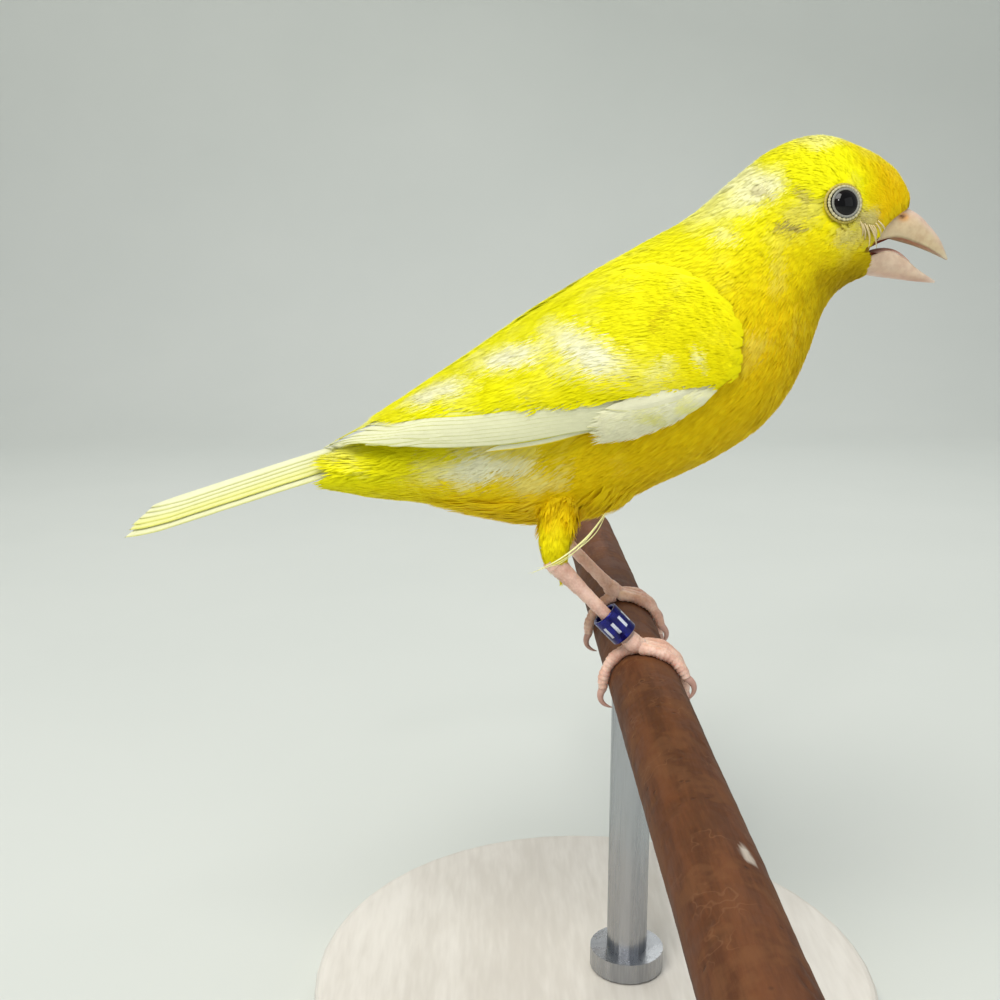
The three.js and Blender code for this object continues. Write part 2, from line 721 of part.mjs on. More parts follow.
function perch() {
  const length = PERCH_FAR_END - PERCH_NEAR_END;
  const profile = [
    [0, 0], [PERCH_RADIUS - PERCH_CHAMFER, 0], [PERCH_RADIUS, PERCH_CHAMFER],
    [PERCH_RADIUS, length - PERCH_CHAMFER], [PERCH_RADIUS - PERCH_CHAMFER, length], [0, length],
  ].map(([radius, height]) => new THREE.Vector2(radius, height));
  const wood = new THREE.LatheGeometry(profile, 36);
  wood.translate(0, PERCH_NEAR_END, -PERCH_DROP);
  return wood;
}

function standBase() {
  const arc = Array.from({ length: 4 }, (_, k) => {
    const angle = (Math.PI / 2) * (k / 3);
    const [out, up] = [BASE_RADIUS - BASE_ROUNDING, BASE_HEIGHT - BASE_ROUNDING];
    return [out + BASE_ROUNDING * Math.cos(angle), up + BASE_ROUNDING * Math.sin(angle)];
  });
  const profile = [[0, 0], [BASE_RADIUS, 0], ...arc, [0, BASE_HEIGHT]]
    .map(([radius, height]) => new THREE.Vector2(radius, height));
  const plate = new THREE.LatheGeometry(profile, 48);
  plate.rotateX(Math.PI / 2);
  return plate;
}

// The rod stands on the base with a collar, and its top is hollowed to the perch
function standRod() {
  const bottom = BASE_HEIGHT + GAP;
  const profile = [
    [0, bottom], [ROD_COLLAR_RADIUS, bottom], [ROD_COLLAR_RADIUS, bottom + ROD_COLLAR_HEIGHT],
    [ROD_RADIUS, bottom + ROD_COLLAR_HEIGHT], [ROD_RADIUS, PERCH_HEIGHT - 1], [0, PERCH_HEIGHT - 1],
  ].map(([radius, height]) => new THREE.Vector2(radius, height));
  const rod = new THREE.LatheGeometry(profile, 24);
  rod.rotateX(Math.PI / 2);
  rod.translate(BIRD_FORWARD, 0, 0);
  const hollow = new THREE.CylinderGeometry(PERCH_RADIUS + GAP, PERCH_RADIUS + GAP, 40, 36);
  hollow.translate(BIRD_FORWARD, 0, 0);
  const seat = hollow.clone();
  seat.translate(0, 0, PERCH_HEIGHT);
  return toGeometry(largest(toSolid(rod).subtract(toSolid(seat))));
}

const finish = (color, roughness, metalness = 0) => new THREE.MeshStandardMaterial({
  color, roughness, metalness, flatShading: true,
});
const FINISHES = {
  plumage: finish(0xf2e21a, 0.85),
  flight: finish(0xf4f3d2, 0.75),
  skin: finish(0xd9a893, 0.6),
  horn: finish(0xe8c3ad, 0.4),
  claw: finish(0xc9a79a, 0.4),
  eye: finish(0x0b0908, 0.08),
  mouth: finish(0xb06a5a, 0.5),
  ring: finish(0x1d1fb4, 0.3, 0.8),
  wood: finish(0x6b3f2a, 0.8),
  stand: finish(0xd8d4cc, 0.5),
  rod: finish(0xb8bcc0, 0.3, 1),
};

function named(name, geometry, material) {
  const mesh = new THREE.Mesh(geometry, material);
  mesh.name = name;
  return mesh;
}

// Right side pieces are modelled, and the left ones are their mirror images
function pair(name, geometry, material) {
  return [named(`${name}_right`, geometry, material), named(`${name}_left`, mirrored(geometry), material)];
}

const bird = new THREE.Group();
bird.position.set(BIRD_FORWARD, 0, PERCH_HEIGHT + PERCH_DROP);
bird.add(
  named('head', head(), FINISHES.plumage),
  named('neck', toGeometry(bodyPart(HEAD_END, NECK_END)), FINISHES.plumage),
  named('torso', toGeometry(bodyPart(NECK_END, TORSO_END)), FINISHES.plumage),
  named('rump', toGeometry(bodyPart(TORSO_END, RUMP_END)), FINISHES.plumage),
  named('tail', tail(), FINISHES.flight),
  ...pair('wing', rightWing(), FINISHES.flight),
  ...pair('eye', eyeball(), FINISHES.eye),
  named('bill_upper', upperBill(), FINISHES.horn),
  named('bill_lower', toGeometry(bill(LOWER_BILL)), FINISHES.horn),
  named('tongue', tongue(), FINISHES.mouth),
  ...pair('thigh', thigh(), FINISHES.plumage),
  ...pair('shank', shank(), FINISHES.skin),
  ...pair('foot', foot(), FINISHES.skin),
  ...TOES.flatMap((spec) => pair(`claw_${spec.name}`, claw(spec), FINISHES.claw)),
  named('leg_ring', legRing(), FINISHES.ring),
  named('perch', perch(), FINISHES.wood),
);

const model = new THREE.Group();
model.add(
  bird,
  named('stand_base', standBase(), FINISHES.stand),
  named('stand_rod', standRod(), FINISHES.rod),
);

export default model;
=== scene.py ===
"""Looks of a life-size canary on its perch: skin, coat of small feathers, wings, tail, head, legs and stand.

Sizes are in millimetres in the bird's own frame: +X is the way it faces, +Y its left side, +Z up, and the
origin is just above the perch's axis, midway between the feet. The meshes are made in the model's frame, in
metres.
"""

import logging
import math
from dataclasses import dataclass, field
from enum import Enum

import bpy
import numpy as np
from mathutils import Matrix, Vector


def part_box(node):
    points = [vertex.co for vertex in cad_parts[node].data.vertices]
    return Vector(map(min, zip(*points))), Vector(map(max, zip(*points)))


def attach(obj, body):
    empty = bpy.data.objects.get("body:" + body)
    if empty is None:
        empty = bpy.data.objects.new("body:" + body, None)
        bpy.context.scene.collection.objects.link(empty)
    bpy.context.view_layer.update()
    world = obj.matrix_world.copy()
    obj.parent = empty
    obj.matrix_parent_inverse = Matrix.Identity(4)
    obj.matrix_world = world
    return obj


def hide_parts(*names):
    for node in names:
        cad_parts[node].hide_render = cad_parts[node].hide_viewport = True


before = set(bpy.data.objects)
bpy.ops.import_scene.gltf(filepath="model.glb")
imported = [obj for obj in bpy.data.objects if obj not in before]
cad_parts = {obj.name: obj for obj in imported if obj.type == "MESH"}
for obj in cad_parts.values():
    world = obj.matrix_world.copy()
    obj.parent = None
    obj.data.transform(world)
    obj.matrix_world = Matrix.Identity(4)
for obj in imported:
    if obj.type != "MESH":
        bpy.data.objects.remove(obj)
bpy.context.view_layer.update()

Array = np.ndarray
Material = bpy.types.Material
Socket = bpy.types.NodeSocket
LOG = logging.getLogger("canary")
ROOT_BODY = "root"
METRES = 0.001
MIRROR = np.array([1.0, -1.0, 1.0])
TINT = "tint"
BAKE_UV = "OFBake"
PATTERN_UV = "pattern"
PATCH_SIZE = 0.003


class Side(Enum):
    """The bird's own sides; the camera sees the right one."""

    RIGHT = "right"
    LEFT = "left"


# How far the perch's axis lies below the origin of the bird's frame
PERCH_DROP = 1.5


def bird_origin() -> Array:
    """Origin of the bird's own frame, above the perch's axis.

    Returns:
        Its place in the model's frame, in millimetres.
    """
    low, high = (np.array(corner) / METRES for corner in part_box("perch"))
    middle = (low + high) / 2
    return np.array([middle[0], 0.0, middle[2] + PERCH_DROP])


ORIGIN = bird_origin()


def srgb(red: float, green: float, blue: float) -> Array:
    """Turns a display colour into a linear one.

    Args:
        red, green, blue: channels from 0 to 255 as a screen shows them.

    Returns:
        The linear red, green and blue.
    """
    share = np.array([red, green, blue]) / 255.0
    return np.where(share <= 0.04045, share / 12.92, ((share + 0.055) / 1.055) ** 2.4)


LEMON = np.array([0.93, 0.91, 0.004])
GOLDEN = np.array([0.92, 0.63, 0.003])
GOLD = np.array([0.86, 0.58, 0.003])
PALE = srgb(250, 248, 180)
WHITE = srgb(252, 250, 214)
BUFF = srgb(212, 200, 138)
SMOKE = srgb(150, 128, 82)
GAPE_BROWN = srgb(112, 66, 42)
# Dark olive gold: the throat's own olive-brown deepened by painted shade, and painted shade in the crease
# over the wing
OLIVE_SHADE = srgb(176, 134, 10)
CREAM = srgb(250, 250, 208)
VEIN = srgb(206, 208, 96)
# Inside of the open mouth: the flesh's own red, darkened as painted shade
MOUTH_RED_SHADE = srgb(112, 52, 36)


def smoothstep(value: Array, start: float, end: float) -> Array:
    """Rises smoothly from 0 at start to 1 at end.

    Args:
        value: numbers to place between the two ends.
        start, end: where the rise begins and ends; start may be the larger.

    Returns:
        3 t squared less 2 t cubed, where t is the clamped share of the way.
    """
    share = np.clip((np.asarray(value, float) - start) / (end - start), 0.0, 1.0)
    return share * share * (3.0 - 2.0 * share)


def mix(first: Array, second: Array, share: Array) -> Array:
    """Blends two colours or vectors by a share for each row."""
    share = np.asarray(share, float)[..., None]
    return first * (1.0 - share) + second * share


def unit(vectors: Array) -> Array:
    """Scales vectors to length one."""
    length = np.linalg.norm(vectors, axis=-1, keepdims=True)
    return vectors / np.maximum(length, 1e-12)


def turns(count: int) -> Array:
    """Angles of points spaced evenly once round, in radians."""
    return np.linspace(0, 2 * np.pi, count, endpoint=False)


def rows_at(table: Array, index: Array) -> Array:
    """Reads a smooth curve through rows of numbers.

    Args:
        table: rows of numbers.
        index: fractional row numbers, of any shape.

    Returns:
        The Catmull-Rom curve through the rows at each index, with one more axis for the columns.
    """
    last = len(table) - 1
    index = np.clip(index, 0.0, last - 1e-6)
    start = np.floor(index).astype(int)
    t = (index - start)[..., None]
    a, b, c, d = (table[np.clip(start + k, 0, last)] for k in (-1, 0, 1, 2))
    return 0.5 * (2 * b + t * (c - a) + t**2 * (2 * a - 5 * b + 4 * c - d) + t**3 * (3 * b - a - 3 * c + d))


def signed_power(value: Array, roundness: float) -> Array:
    """Power of a sine or cosine that keeps its sign, for superellipse sections."""
    return np.sign(value) * np.abs(value) ** (2.0 / roundness)


def soft_noise(points: Array, size: float, seed: int) -> Array:
    """Smooth noise in space: draws on a lattice of cubes, blended between its corners.

    Args:
        points: places, with x, y, z on the last axis.
        size: edge of a cube.
        seed: number that picks the pattern.

    Returns:
        Values from 0 to 1, one for each place.
    """
    scaled = points / size + 100.0
    cell = np.floor(scaled).astype(np.int64)
    t = scaled - cell
    t = t * t * (3 - 2 * t)
    total = np.zeros(points.shape[:-1])
    for corner in range(8):
        step = np.array([corner & 1, corner >> 1 & 1, corner >> 2 & 1])
        x, y, z = np.moveaxis(cell + step, -1, 0)
        key = (x * 73856093 ^ y * 19349663 ^ z * 83492791 ^ seed * 2654435761) & 0x7FFFFFFF
        key = (key * 1103515245 + 12345) & 0x7FFFFFFF
        key = (key ^ key >> 13) * 1274126177 & 0x7FFFFFFF
        weight = np.prod(np.where(step, t, 1 - t), axis=-1)
        total += weight * (key / 0x7FFFFFFF)
    return total


class Surface:
    """A surface of two numbers, u towards the tail or tip and v round the form, with a rise above it."""

    small = 1e-3

    def point(self, u: Array, v: Array, rise: Array = 0.0) -> Array:
        """Place on the surface; each kind of surface has its own."""
        raise NotImplementedError

    def slopes(self, u: Array, v: Array, rise: Array = 0.0) -> tuple[Array, Array]:
        """Change of place with u and with v, by central differences.

        Args:
            u, v, rise: where, as in point.

        Returns:
            The two changes, one vector for each place.
        """
        h = self.small
        along = (self.point(u + h, v, rise) - self.point(u - h, v, rise)) / (2 * h)
        around = (self.point(u, v + h, rise) - self.point(u, v - h, rise)) / (2 * h)
        return along, around

    def normal(self, u: Array, v: Array) -> Array:
        """Outward direction at a place."""
        along, around = self.slopes(u, v)
        return unit(np.cross(along, around))

    def walk(self, u: Array, v: Array, step: Array) -> tuple[Array, Array]:
        """Moves over the surface by a small step in space.

        Args:
            u, v: where the step starts.
            step: vectors in space, which the surface's own slopes turn into changes of u and v.

        Returns:
            The new u and v, by solving the two slopes for the step laid flat on the surface.
        """
        along, around = self.slopes(u, v)
        aa = np.sum(along * along, -1)
        bb = np.sum(around * around, -1)
        ab = np.sum(along * around, -1)
        sa = np.sum(step * along, -1)
        sb = np.sum(step * around, -1)
        area = np.maximum(aa * bb - ab * ab, 1e-9)
        return u + (sa * bb - sb * ab) / area, v + (sb * aa - sa * ab) / area


@dataclass(frozen=True)
class BodyShape(Surface):
    """Head to tail root: superellipse sections, by section number and angle from the back in radians."""

    # Top x, top z, bottom x, bottom z, half width, share of the height at the widest
    sections: tuple = (
        (35.9, 61.2, 31.2, 52.3, 3.5, 0.50),
        (35.0, 63.6, 29.6, 51.6, 4.6, 0.48),
        (32.6, 66.6, 28.0, 51.0, 6.1, 0.46),
        (28.4, 68.9, 26.4, 50.1, 7.5, 0.46),
        (22.6, 70.4, 24.9, 48.6, 8.4, 0.45),
        (16.8, 68.6, 23.7, 46.3, 9.0, 0.45),
        (11.6, 64.6, 22.9, 43.5, 9.9, 0.46),
        (6.0, 59.8, 21.9, 40.7, 11.6, 0.47),
        (-0.4, 56.2, 19.9, 36.4, 13.4, 0.47),
        (-7.2, 52.4, 16.0, 31.6, 14.6, 0.47),
        (-14.2, 47.8, 10.0, 27.6, 14.8, 0.46),
        (-21.0, 42.6, 2.4, 23.9, 14.0, 0.46),
        (-27.2, 38.2, -6.6, 19.6, 12.2, 0.46),
        (-32.6, 34.2, -16.6, 18.9, 9.6, 0.47),
        (-37.0, 31.2, -27.4, 20.9, 7.2, 0.50),
        (-41.4, 28.9, -36.4, 21.9, 5.5, 0.50),
        (-46.4, 27.0, -44.6, 23.2, 4.4, 0.50),
        (-53.0, 24.8, -52.0, 21.8, 4.4, 0.50),
        (-60.0, 22.6, -60.0, 19.9, 4.6, 0.50),
    )
    roundness: float = 2.15
    seat: float = 1.7
    seat_start: float = 8.6
    seat_full: float = 11.4

    def seat_depth(self, u: Array) -> Array:
        """How far the back sinks under the folded wings at a section."""
        return self.seat * smoothstep(u, self.seat_start, self.seat_full)

    def point(self, u: Array, v: Array, rise: Array = 0.0) -> Array:
        """Place on a section: its middle, plus a superellipse's cosine upwards and sine sideways.

        Args:
            u, v: section number, and angle from the back in radians.
            rise: height over the surface, added to both half axes.

        Returns:
            Places with x, y, z on the last axis.
        """
        row = rows_at(np.array(self.sections), u)
        top_x, top_z, low_x, low_z, half, share = np.moveaxis(row, -1, 0)
        height = np.hypot(top_x - low_x, top_z - low_z)
        up_x, up_z = (top_x - low_x) / height, (top_z - low_z) / height
        cosine = signed_power(np.cos(v), self.roundness)
        sine = signed_power(np.sin(v), self.roundness)
        above = height * (1 - share) - self.seat_depth(u) + rise
        below = height * share + rise
        lift = height * share + cosine * np.where(cosine > 0, above, below)
        return np.stack([low_x + up_x * lift, -(half + rise) * sine, low_z + up_z * lift], -1)


@dataclass(frozen=True)
class WingHull(Surface):
    """Outer form of the folded right wing, by distance behind its front and angle from the top in degrees."""

    front: float = 14.0
    pitch: float = 6.0
    # Top z, half width, z of the widest line, reach below it
    sections: tuple = (
        (54.5, 14.6, 40.8, 12.0),
        (57.6, 16.4, 40.2, 12.0),
        (57.2, 17.4, 39.1, 12.0),
        (54.7, 17.9, 38.0, 12.0),
        (50.9, 17.9, 36.6, 12.0),
        (46.8, 17.2, 35.1, 11.0),
        (42.5, 15.6, 33.8, 9.5),
        (38.5, 13.5, 32.5, 8.0),
        (34.5, 10.8, 31.2, 6.0),
        (30.9, 7.6, 29.5, 4.0),
        (28.2, 4.6, 27.8, 2.5),
    )
    roundness: float = 2.2

    def section_at(self, u: Array) -> Array:
        """Columns of the table at distances behind the front."""
        return np.moveaxis(rows_at(np.array(self.sections), np.asarray(u) / self.pitch), -1, 0)

    def angle_at(self, u: Array, z: Array) -> Array:
        """Angle at which the hull has a given height, from the same superellipse turned round.

        Args:
            u: distance behind the front.
            z: height.

        Returns:
            Angles from the top in degrees.
        """
        top, _, widest, below = self.section_at(u)
        share = (z - widest) / np.where(z > widest, top - widest, below)
        return np.degrees(np.arccos(np.clip(signed_power(share, 4.0 / self.roundness), -1, 1)))

    def point(self, u: Array, v: Array, rise: Array = 0.0) -> Array:
        """Place on the hull: superellipse sections across the bird.

        Args:
            u, v: distance behind the front, and angle from the top in degrees.
            rise: height over the hull, added to the height and the half width.

        Returns:
            Places with x, y, z on the last axis.
        """
        top, half, widest, below = self.section_at(u)
        angle = np.radians(v)
        cosine = signed_power(np.cos(angle), self.roundness)
        sine = signed_power(np.sin(angle), self.roundness)
        reach = np.where(cosine > 0, top - widest + rise, below)
        return np.stack([self.front - u + 0 * angle, -(half + rise) * sine, widest + reach * cosine], -1)


@dataclass(frozen=True)
class TailPlane(Surface):
    """Low roof that the tail feathers lie on, by distance behind the rump and distance from the midline."""

    root: tuple = (-45.0, 27.5)
    pitch: float = 17.9
    bank: float = 36.0
    ridge: float = 0.7

    def point(self, u: Array, v: Array, rise: Array = 0.0) -> Array:
        """Place on the roof: both halves drop from a rounded ridge, then the whole is pitched.

        Args:
            u, v: distance down the tail and across it.
            rise: height over the roof.

        Returns:
            Places with x, y, z on the last axis.
        """
        bank, pitch = math.radians(self.bank), math.radians(self.pitch)
        across = v * math.cos(bank)
        up = rise / math.cos(bank) - (np.hypot(v, self.ridge) - self.ridge) * math.sin(bank)
        x = -u * math.cos(pitch) - up * math.sin(pitch)
        z = -u * math.sin(pitch) + up * math.cos(pitch)
        return np.stack([self.root[0] + x, across + 0 * u, self.root[1] + z], -1)


@dataclass(frozen=True)
class Limb(Surface):
    """A tapered round limb through points with radii, by node number and angle round it in radians."""

    nodes: tuple
    flatten: float = 1.0

    def point(self, u: Array, v: Array, rise: Array = 0.0) -> Array:
        """Place: the middle line at u, plus the radius round it in the plane square to the line.

        Args:
            u, v: node number, and angle round the line in radians.
            rise: added to the radius.

        Returns:
            Places with x, y, z on the last axis.
        """
        table = np.array(self.nodes)
        u, v = np.broadcast_arrays(np.asarray(u, float), np.asarray(v, float))
        here = rows_at(table, u)
        ahead = rows_at(table, np.minimum(u + 0.02, len(table) - 1.0))
        behind = rows_at(table, np.maximum(u - 0.02, 0.0))
        along = unit(ahead[..., :3] - behind[..., :3])
        side = np.zeros_like(along)
        side[..., 1] = 1.0
        side = unit(side - along * along[..., 1:2])
        over = np.cross(side, along)
        radius = here[..., 3] + rise
        cosine = (radius * self.flatten * np.cos(v))[..., None]
        sine = (radius * np.sin(v))[..., None]
        return here[..., :3] + side * cosine + over * sine


def grid_triangles(rows: int, columns: int, wrapped: bool) -> Array:
    """Triangles of a grid of points.

    Args:
        rows: number of rows of points.
        columns: number of points in a row.
        wrapped: whether the last column joins the first.

    Returns:
        Two triangles for each cell, as rows of three point numbers.
    """
    r = np.arange(rows - 1)[:, None]
    c = np.arange(columns if wrapped else columns - 1)[None, :]
    nxt = (c + 1) % columns
    a, b = r * columns + c, r * columns + nxt
    d, e = a + columns, b + columns
    return np.concatenate([np.stack([a, e, b], -1).reshape(-1, 3), np.stack([a, d, e], -1).reshape(-1, 3)])


def fan_triangles(first: int, count: int, hub: int, turned: bool) -> Array:
    """Triangles from a hub point to a closed row of points, to close a tube's end.

    Args:
        first, count: number of the row's first point, and how many it has.
        hub: number of the hub point.
        turned: whether the triangles face the other way.

    Returns:
        Rows of three point numbers.
    """
    ring = first + np.arange(count)
    after = first + (np.arange(count) + 1) % count
    pair = (after, ring) if turned else (ring, after)
    return np.stack([np.full(count, hub), *pair], -1)


@dataclass
class Shell:
    """Surfaces gathered into one mesh, with colour, patch place and shading direction for each point."""

    points: list = field(default_factory=list)
    triangles: list = field(default_factory=list)
    colours: list = field(default_factory=list)
    patches: list = field(default_factory=list)
    patterns: list = field(default_factory=list)
    normals: list = field(default_factory=list)
    size: int = 0

    def add(self, points: Array, triangles: Array, colour: Array = LEMON, patch: Array | None = None,
            pattern: Array | None = None, normals: Array | None = None) -> None:
        """Adds a surface.

        Args:
            points: places in the bird's frame, in millimetres.
            triangles: rows of three point numbers, counted from this surface's first point.
            colour: one linear colour, or one for each point.
            patch: place of each point on the bake map.
            pattern: place of each point on the pattern map, in millimetres.
            normals: shading direction of each point.
        """
        count = len(points)
        flat = np.zeros((count, 2))
        self.points.append(points)
        self.triangles.append(triangles + self.size)
        self.colours.append(np.broadcast_to(colour, (count, 3)))
        self.patches.append(flat if patch is None else patch)
        self.patterns.append(flat if pattern is None else pattern)
        self.normals.append(np.zeros((count, 3)) if normals is None else normals)
        self.size += count

    def add_rings(self, rings: Array, colour: Array = LEMON, pattern: Array | None = None) -> None:
        """Adds a closed body of rings of points, with a hub point in the middle of each end ring.

        Args:
            rings: places, rows by sides by three.
            colour: one linear colour, or one for each ring point.
            pattern: place of each ring point on the pattern map.
        """
        rows, sides = rings.shape[:2]
        count = rows * sides
        points = np.concatenate([rings.reshape(-1, 3), rings[[0, -1]].mean(1)])
        triangles = np.concatenate([
            grid_triangles(rows, sides, True),
            fan_triangles(0, sides, count, False),
            fan_triangles(count - sides, sides, count + 1, True),
        ])
        if np.ndim(colour) > 1:
            colour = np.concatenate([colour.reshape(-1, 3), colour[[0, -1], 0]])
        if pattern is not None:
            pattern = np.concatenate([pattern.reshape(-1, 2), pattern[[0, -1], 0]])
        self.add(points, outward(points, triangles), colour, pattern=pattern)

    def add_loop(self, rings: Array, colour: Array = LEMON, pattern: Array | None = None) -> None:
        """Adds rings of points whose last ring joins the first, as in a band or a bead ring.

        Args:
            rings, colour, pattern: as in add_rings.
        """
        rows, sides = rings.shape[:2]
        flat = rings.reshape(-1, 3)
        triangles = outward(flat, grid_triangles(rows + 1, sides, True) % (rows * sides))
        colour = colour if np.ndim(colour) == 1 else colour.reshape(-1, 3)
        self.add(flat, triangles, colour, pattern=None if pattern is None else pattern.reshape(-1, 2))

    def add_tube(self, surface: Surface, u: Array, sides: int, colour: Array = LEMON,
                 rise: Array = 0.0) -> None:
        """Adds a closed tube of rings on a surface.

        Args:
            surface: the surface whose v goes round the tube in radians.
            u: where the rings stand.
            sides: points in a ring.
            colour: one linear colour, or one for each ring point.
            rise: height above the surface: one number, or rings by sides.
        """
        uu, vv = np.meshgrid(u, turns(sides), indexing="ij")
        self.add_rings(surface.point(uu, vv, rise), colour, pattern=np.stack([vv, uu], -1))

    def mirrored(self) -> "Shell":
        """The same shell for the bird's other side: y and the faces' turn are reversed."""
        points, normals = ([rows * MIRROR for rows in kept] for kept in (self.points, self.normals))
        triangles = [rows[:, ::-1] for rows in self.triangles]
        return Shell(points, triangles, self.colours, self.patches, self.patterns, normals, self.size)

    def build(self, name: str, material: Material, smooth: bool = True) -> bpy.types.Object:
        """Makes the Blender object.

        Args:
            name: the piece's name.
            material: its finish.
            smooth: whether faces are shaded smooth.

        Returns:
            The new object, at the origin, with its place in its mesh.
        """
        points = (np.concatenate(self.points) + ORIGIN) * METRES
        triangles = np.concatenate(self.triangles).astype(np.int32)
        mesh = bpy.data.meshes.new(name)
        mesh.vertices.add(len(points))
        mesh.vertices.foreach_set("co", points.astype(np.float32).ravel())
        mesh.loops.add(triangles.size)
        mesh.loops.foreach_set("vertex_index", triangles.ravel())
        mesh.polygons.add(len(triangles))
        mesh.polygons.foreach_set("loop_start", np.arange(0, triangles.size, 3, dtype=np.int32))
        mesh.polygons.foreach_set("use_smooth", np.full(len(triangles), smooth))
        mesh.update(calc_edges=True)
        for label, values in ((BAKE_UV, self.patches), (PATTERN_UV, self.patterns)):
            place = np.concatenate(values)
            if np.any(place):
                layer = mesh.uv_layers.new(name=label)
                layer.data.foreach_set("uv", place[triangles.ravel()].astype(np.float32).ravel())
        paint(mesh, np.concatenate(self.colours))
        normals = np.concatenate(self.normals)
        if np.any(normals):
            corners = facing(points, triangles, normals).reshape(-1, 3)
            mesh.normals_split_custom_set(corners.astype(np.float32))
        piece = bpy.data.objects.new(name, mesh)
        bpy.context.scene.collection.objects.link(piece)
        mesh.materials.append(material)
        return piece


def paint(mesh: bpy.types.Mesh, colours: Array) -> None:
    """Writes one colour for each point into the attribute that the finishes read."""
    tint = mesh.color_attributes.new(name=TINT, type="FLOAT_COLOR", domain="POINT")
    channels = np.column_stack([colours, np.ones(len(colours))]).astype(np.float32)
    tint.data.foreach_set("color", channels.ravel())


def facing(points: Array, triangles: Array, normals: Array) -> Array:
    """Shading direction of each corner: the point's own, mirrored in the face where it points behind it.

    Args:
        points, triangles: the mesh, in metres.
        normals: each point's direction.

    Returns:
        Three directions for each triangle.
    """
    a, b, c = (points[triangles[:, k]] for k in range(3))
    face = unit(np.cross(b - a, c - a) / METRES**2)[:, None]
    corner = normals[triangles]
    behind = np.minimum(np.sum(corner * face, -1, keepdims=True), 0.0)
    return corner - 2 * behind * face


def outward(points: Array, triangles: Array) -> Array:
    """Turns a closed shell's triangles so that its volume comes out positive.

    Args:
        points, triangles: the shell.

    Returns:
        The triangles, all reversed where the sum of a dot (b cross c) is negative.
    """
    a, b, c = (points[triangles[:, k]] for k in range(3))
    volume = np.sum(a * np.cross(b, c))
    return triangles if volume > 0 else triangles[:, ::-1]


def report(piece: bpy.types.Object, replaced: tuple[str, ...] = ()) -> None:
    """Declares a piece to the frame and says so.

    Args:
        piece: the finished object.
        replaced: the solids that it stands for.
    """
    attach(piece, ROOT_BODY)
    if replaced:
        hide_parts(*replaced)
    LOG.info("%s: %d triangles", piece.name, len(piece.data.polygons))


def report_pair(shell: Shell, label: str, material: Material, node: str = "") -> None:
    """Builds and declares a right piece and its mirrored left one.

    Args:
        shell: the right side's shell.
        label: name of both pieces, before the side.
        material: their finish.
        node: name of the solids that they replace, before the side.
    """
    for side, half in ((Side.RIGHT, shell), (Side.LEFT, shell.mirrored())):
        replaced = (f"{node}_{side.value}",) if node else ()
        report(half.build(f"{label}_{side.value}", material), replaced)


class Nodes:
    """Short words for making the nodes of one tree."""

    def __init__(self, tree: bpy.types.NodeTree) -> None:
        """Keeps the tree."""
        self.tree = tree

    def add(self, kind: str, **values: object) -> bpy.types.Node:
        """Adds a node and sets its properties, or its inputs of the same name with spaces written as _.

        Args:
            kind: the node's type.
            values: property or input names with their values or sockets.

        Returns:
            The new node.
        """
        node = self.tree.nodes.new(kind)
        for key, value in values.items():
            label = key.replace("_", " ")
            if label in node.inputs:
                self.feed(node.inputs[label], value)
            else:
                setattr(node, key, value)
        return node

    def feed(self, socket: Socket, value: object) -> None:
        """Links an output socket to an input, or sets the input's own value.

        Args:
            socket: the input.
            value: an output socket, or a constant.
        """
        if isinstance(value, Socket):
            self.tree.links.new(value, socket)
        else:
            socket.default_value = value

    def math(self, operation: str, first: object, second: object = 0.0) -> Socket:
        """Result of one sum.

        Args:
            operation: Blender's name for it.
            first, second: values or sockets.

        Returns:
            The socket with the result.
        """
        node = self.tree.nodes.new("ShaderNodeMath")
        node.operation = operation
        self.feed(node.inputs[0], first)
        self.feed(node.inputs[1], second)
        return node.outputs[0]

    def span(self, value: object, low: float, high: float, to_low: float, to_high: float) -> Socket:
        """Maps a range smoothly onto another, clamped.

        Args:
            value: what is mapped.
            low, high: the range it comes from.
            to_low, to_high: the range it goes to.

        Returns:
            The socket with the result.
        """
        node = self.add("ShaderNodeMapRange", interpolation_type="SMOOTHSTEP", Value=value)
        for label, number in (("From Min", low), ("From Max", high), ("To Min", to_low), ("To Max", to_high)):
            node.inputs[label].default_value = number
        return node.outputs["Result"]

    def blend(self, share: object, first: object, second: object) -> Socket:
        """Mixes two colours.

        Args:
            share: of the second colour.
            first, second: colours or sockets.

        Returns:
            The socket with the mixed colour.
        """
        node = self.tree.nodes.new("ShaderNodeMix")
        node.data_type = "RGBA"
        self.feed(node.inputs["Factor"], share)
        self.feed(node.inputs[6], first)
        self.feed(node.inputs[7], second)
        return node.outputs[2]

    def tinted(self, colour: object) -> Socket:
        """Multiplies a colour by the piece's point colours."""
        node = self.add("ShaderNodeMix", data_type="RGBA", blend_type="MULTIPLY")
        node.inputs["Factor"].default_value = 1.0
        self.feed(node.inputs[6], colour)
        self.feed(node.inputs[7], self.add("ShaderNodeAttribute", attribute_name=TINT).outputs["Color"])
        return node.outputs[2]

    def from_half(self, value: object) -> Socket:
        """Distance of a value from one half."""
        return self.math("ABSOLUTE", self.math("SUBTRACT", value, 0.5))

    def noise(self, place: object, scale: float, detail: float = 3.0, roughness: float = 0.55) -> Socket:
        """Noise value at a place."""
        node = self.add("ShaderNodeTexNoise", Vector=place, Scale=scale, Detail=detail, Roughness=roughness)
        return node.outputs["Fac"]


def rgba(colour: Array) -> tuple[float, float, float, float]:
    """Four channels from three."""
    return (*map(float, colour), 1.0)


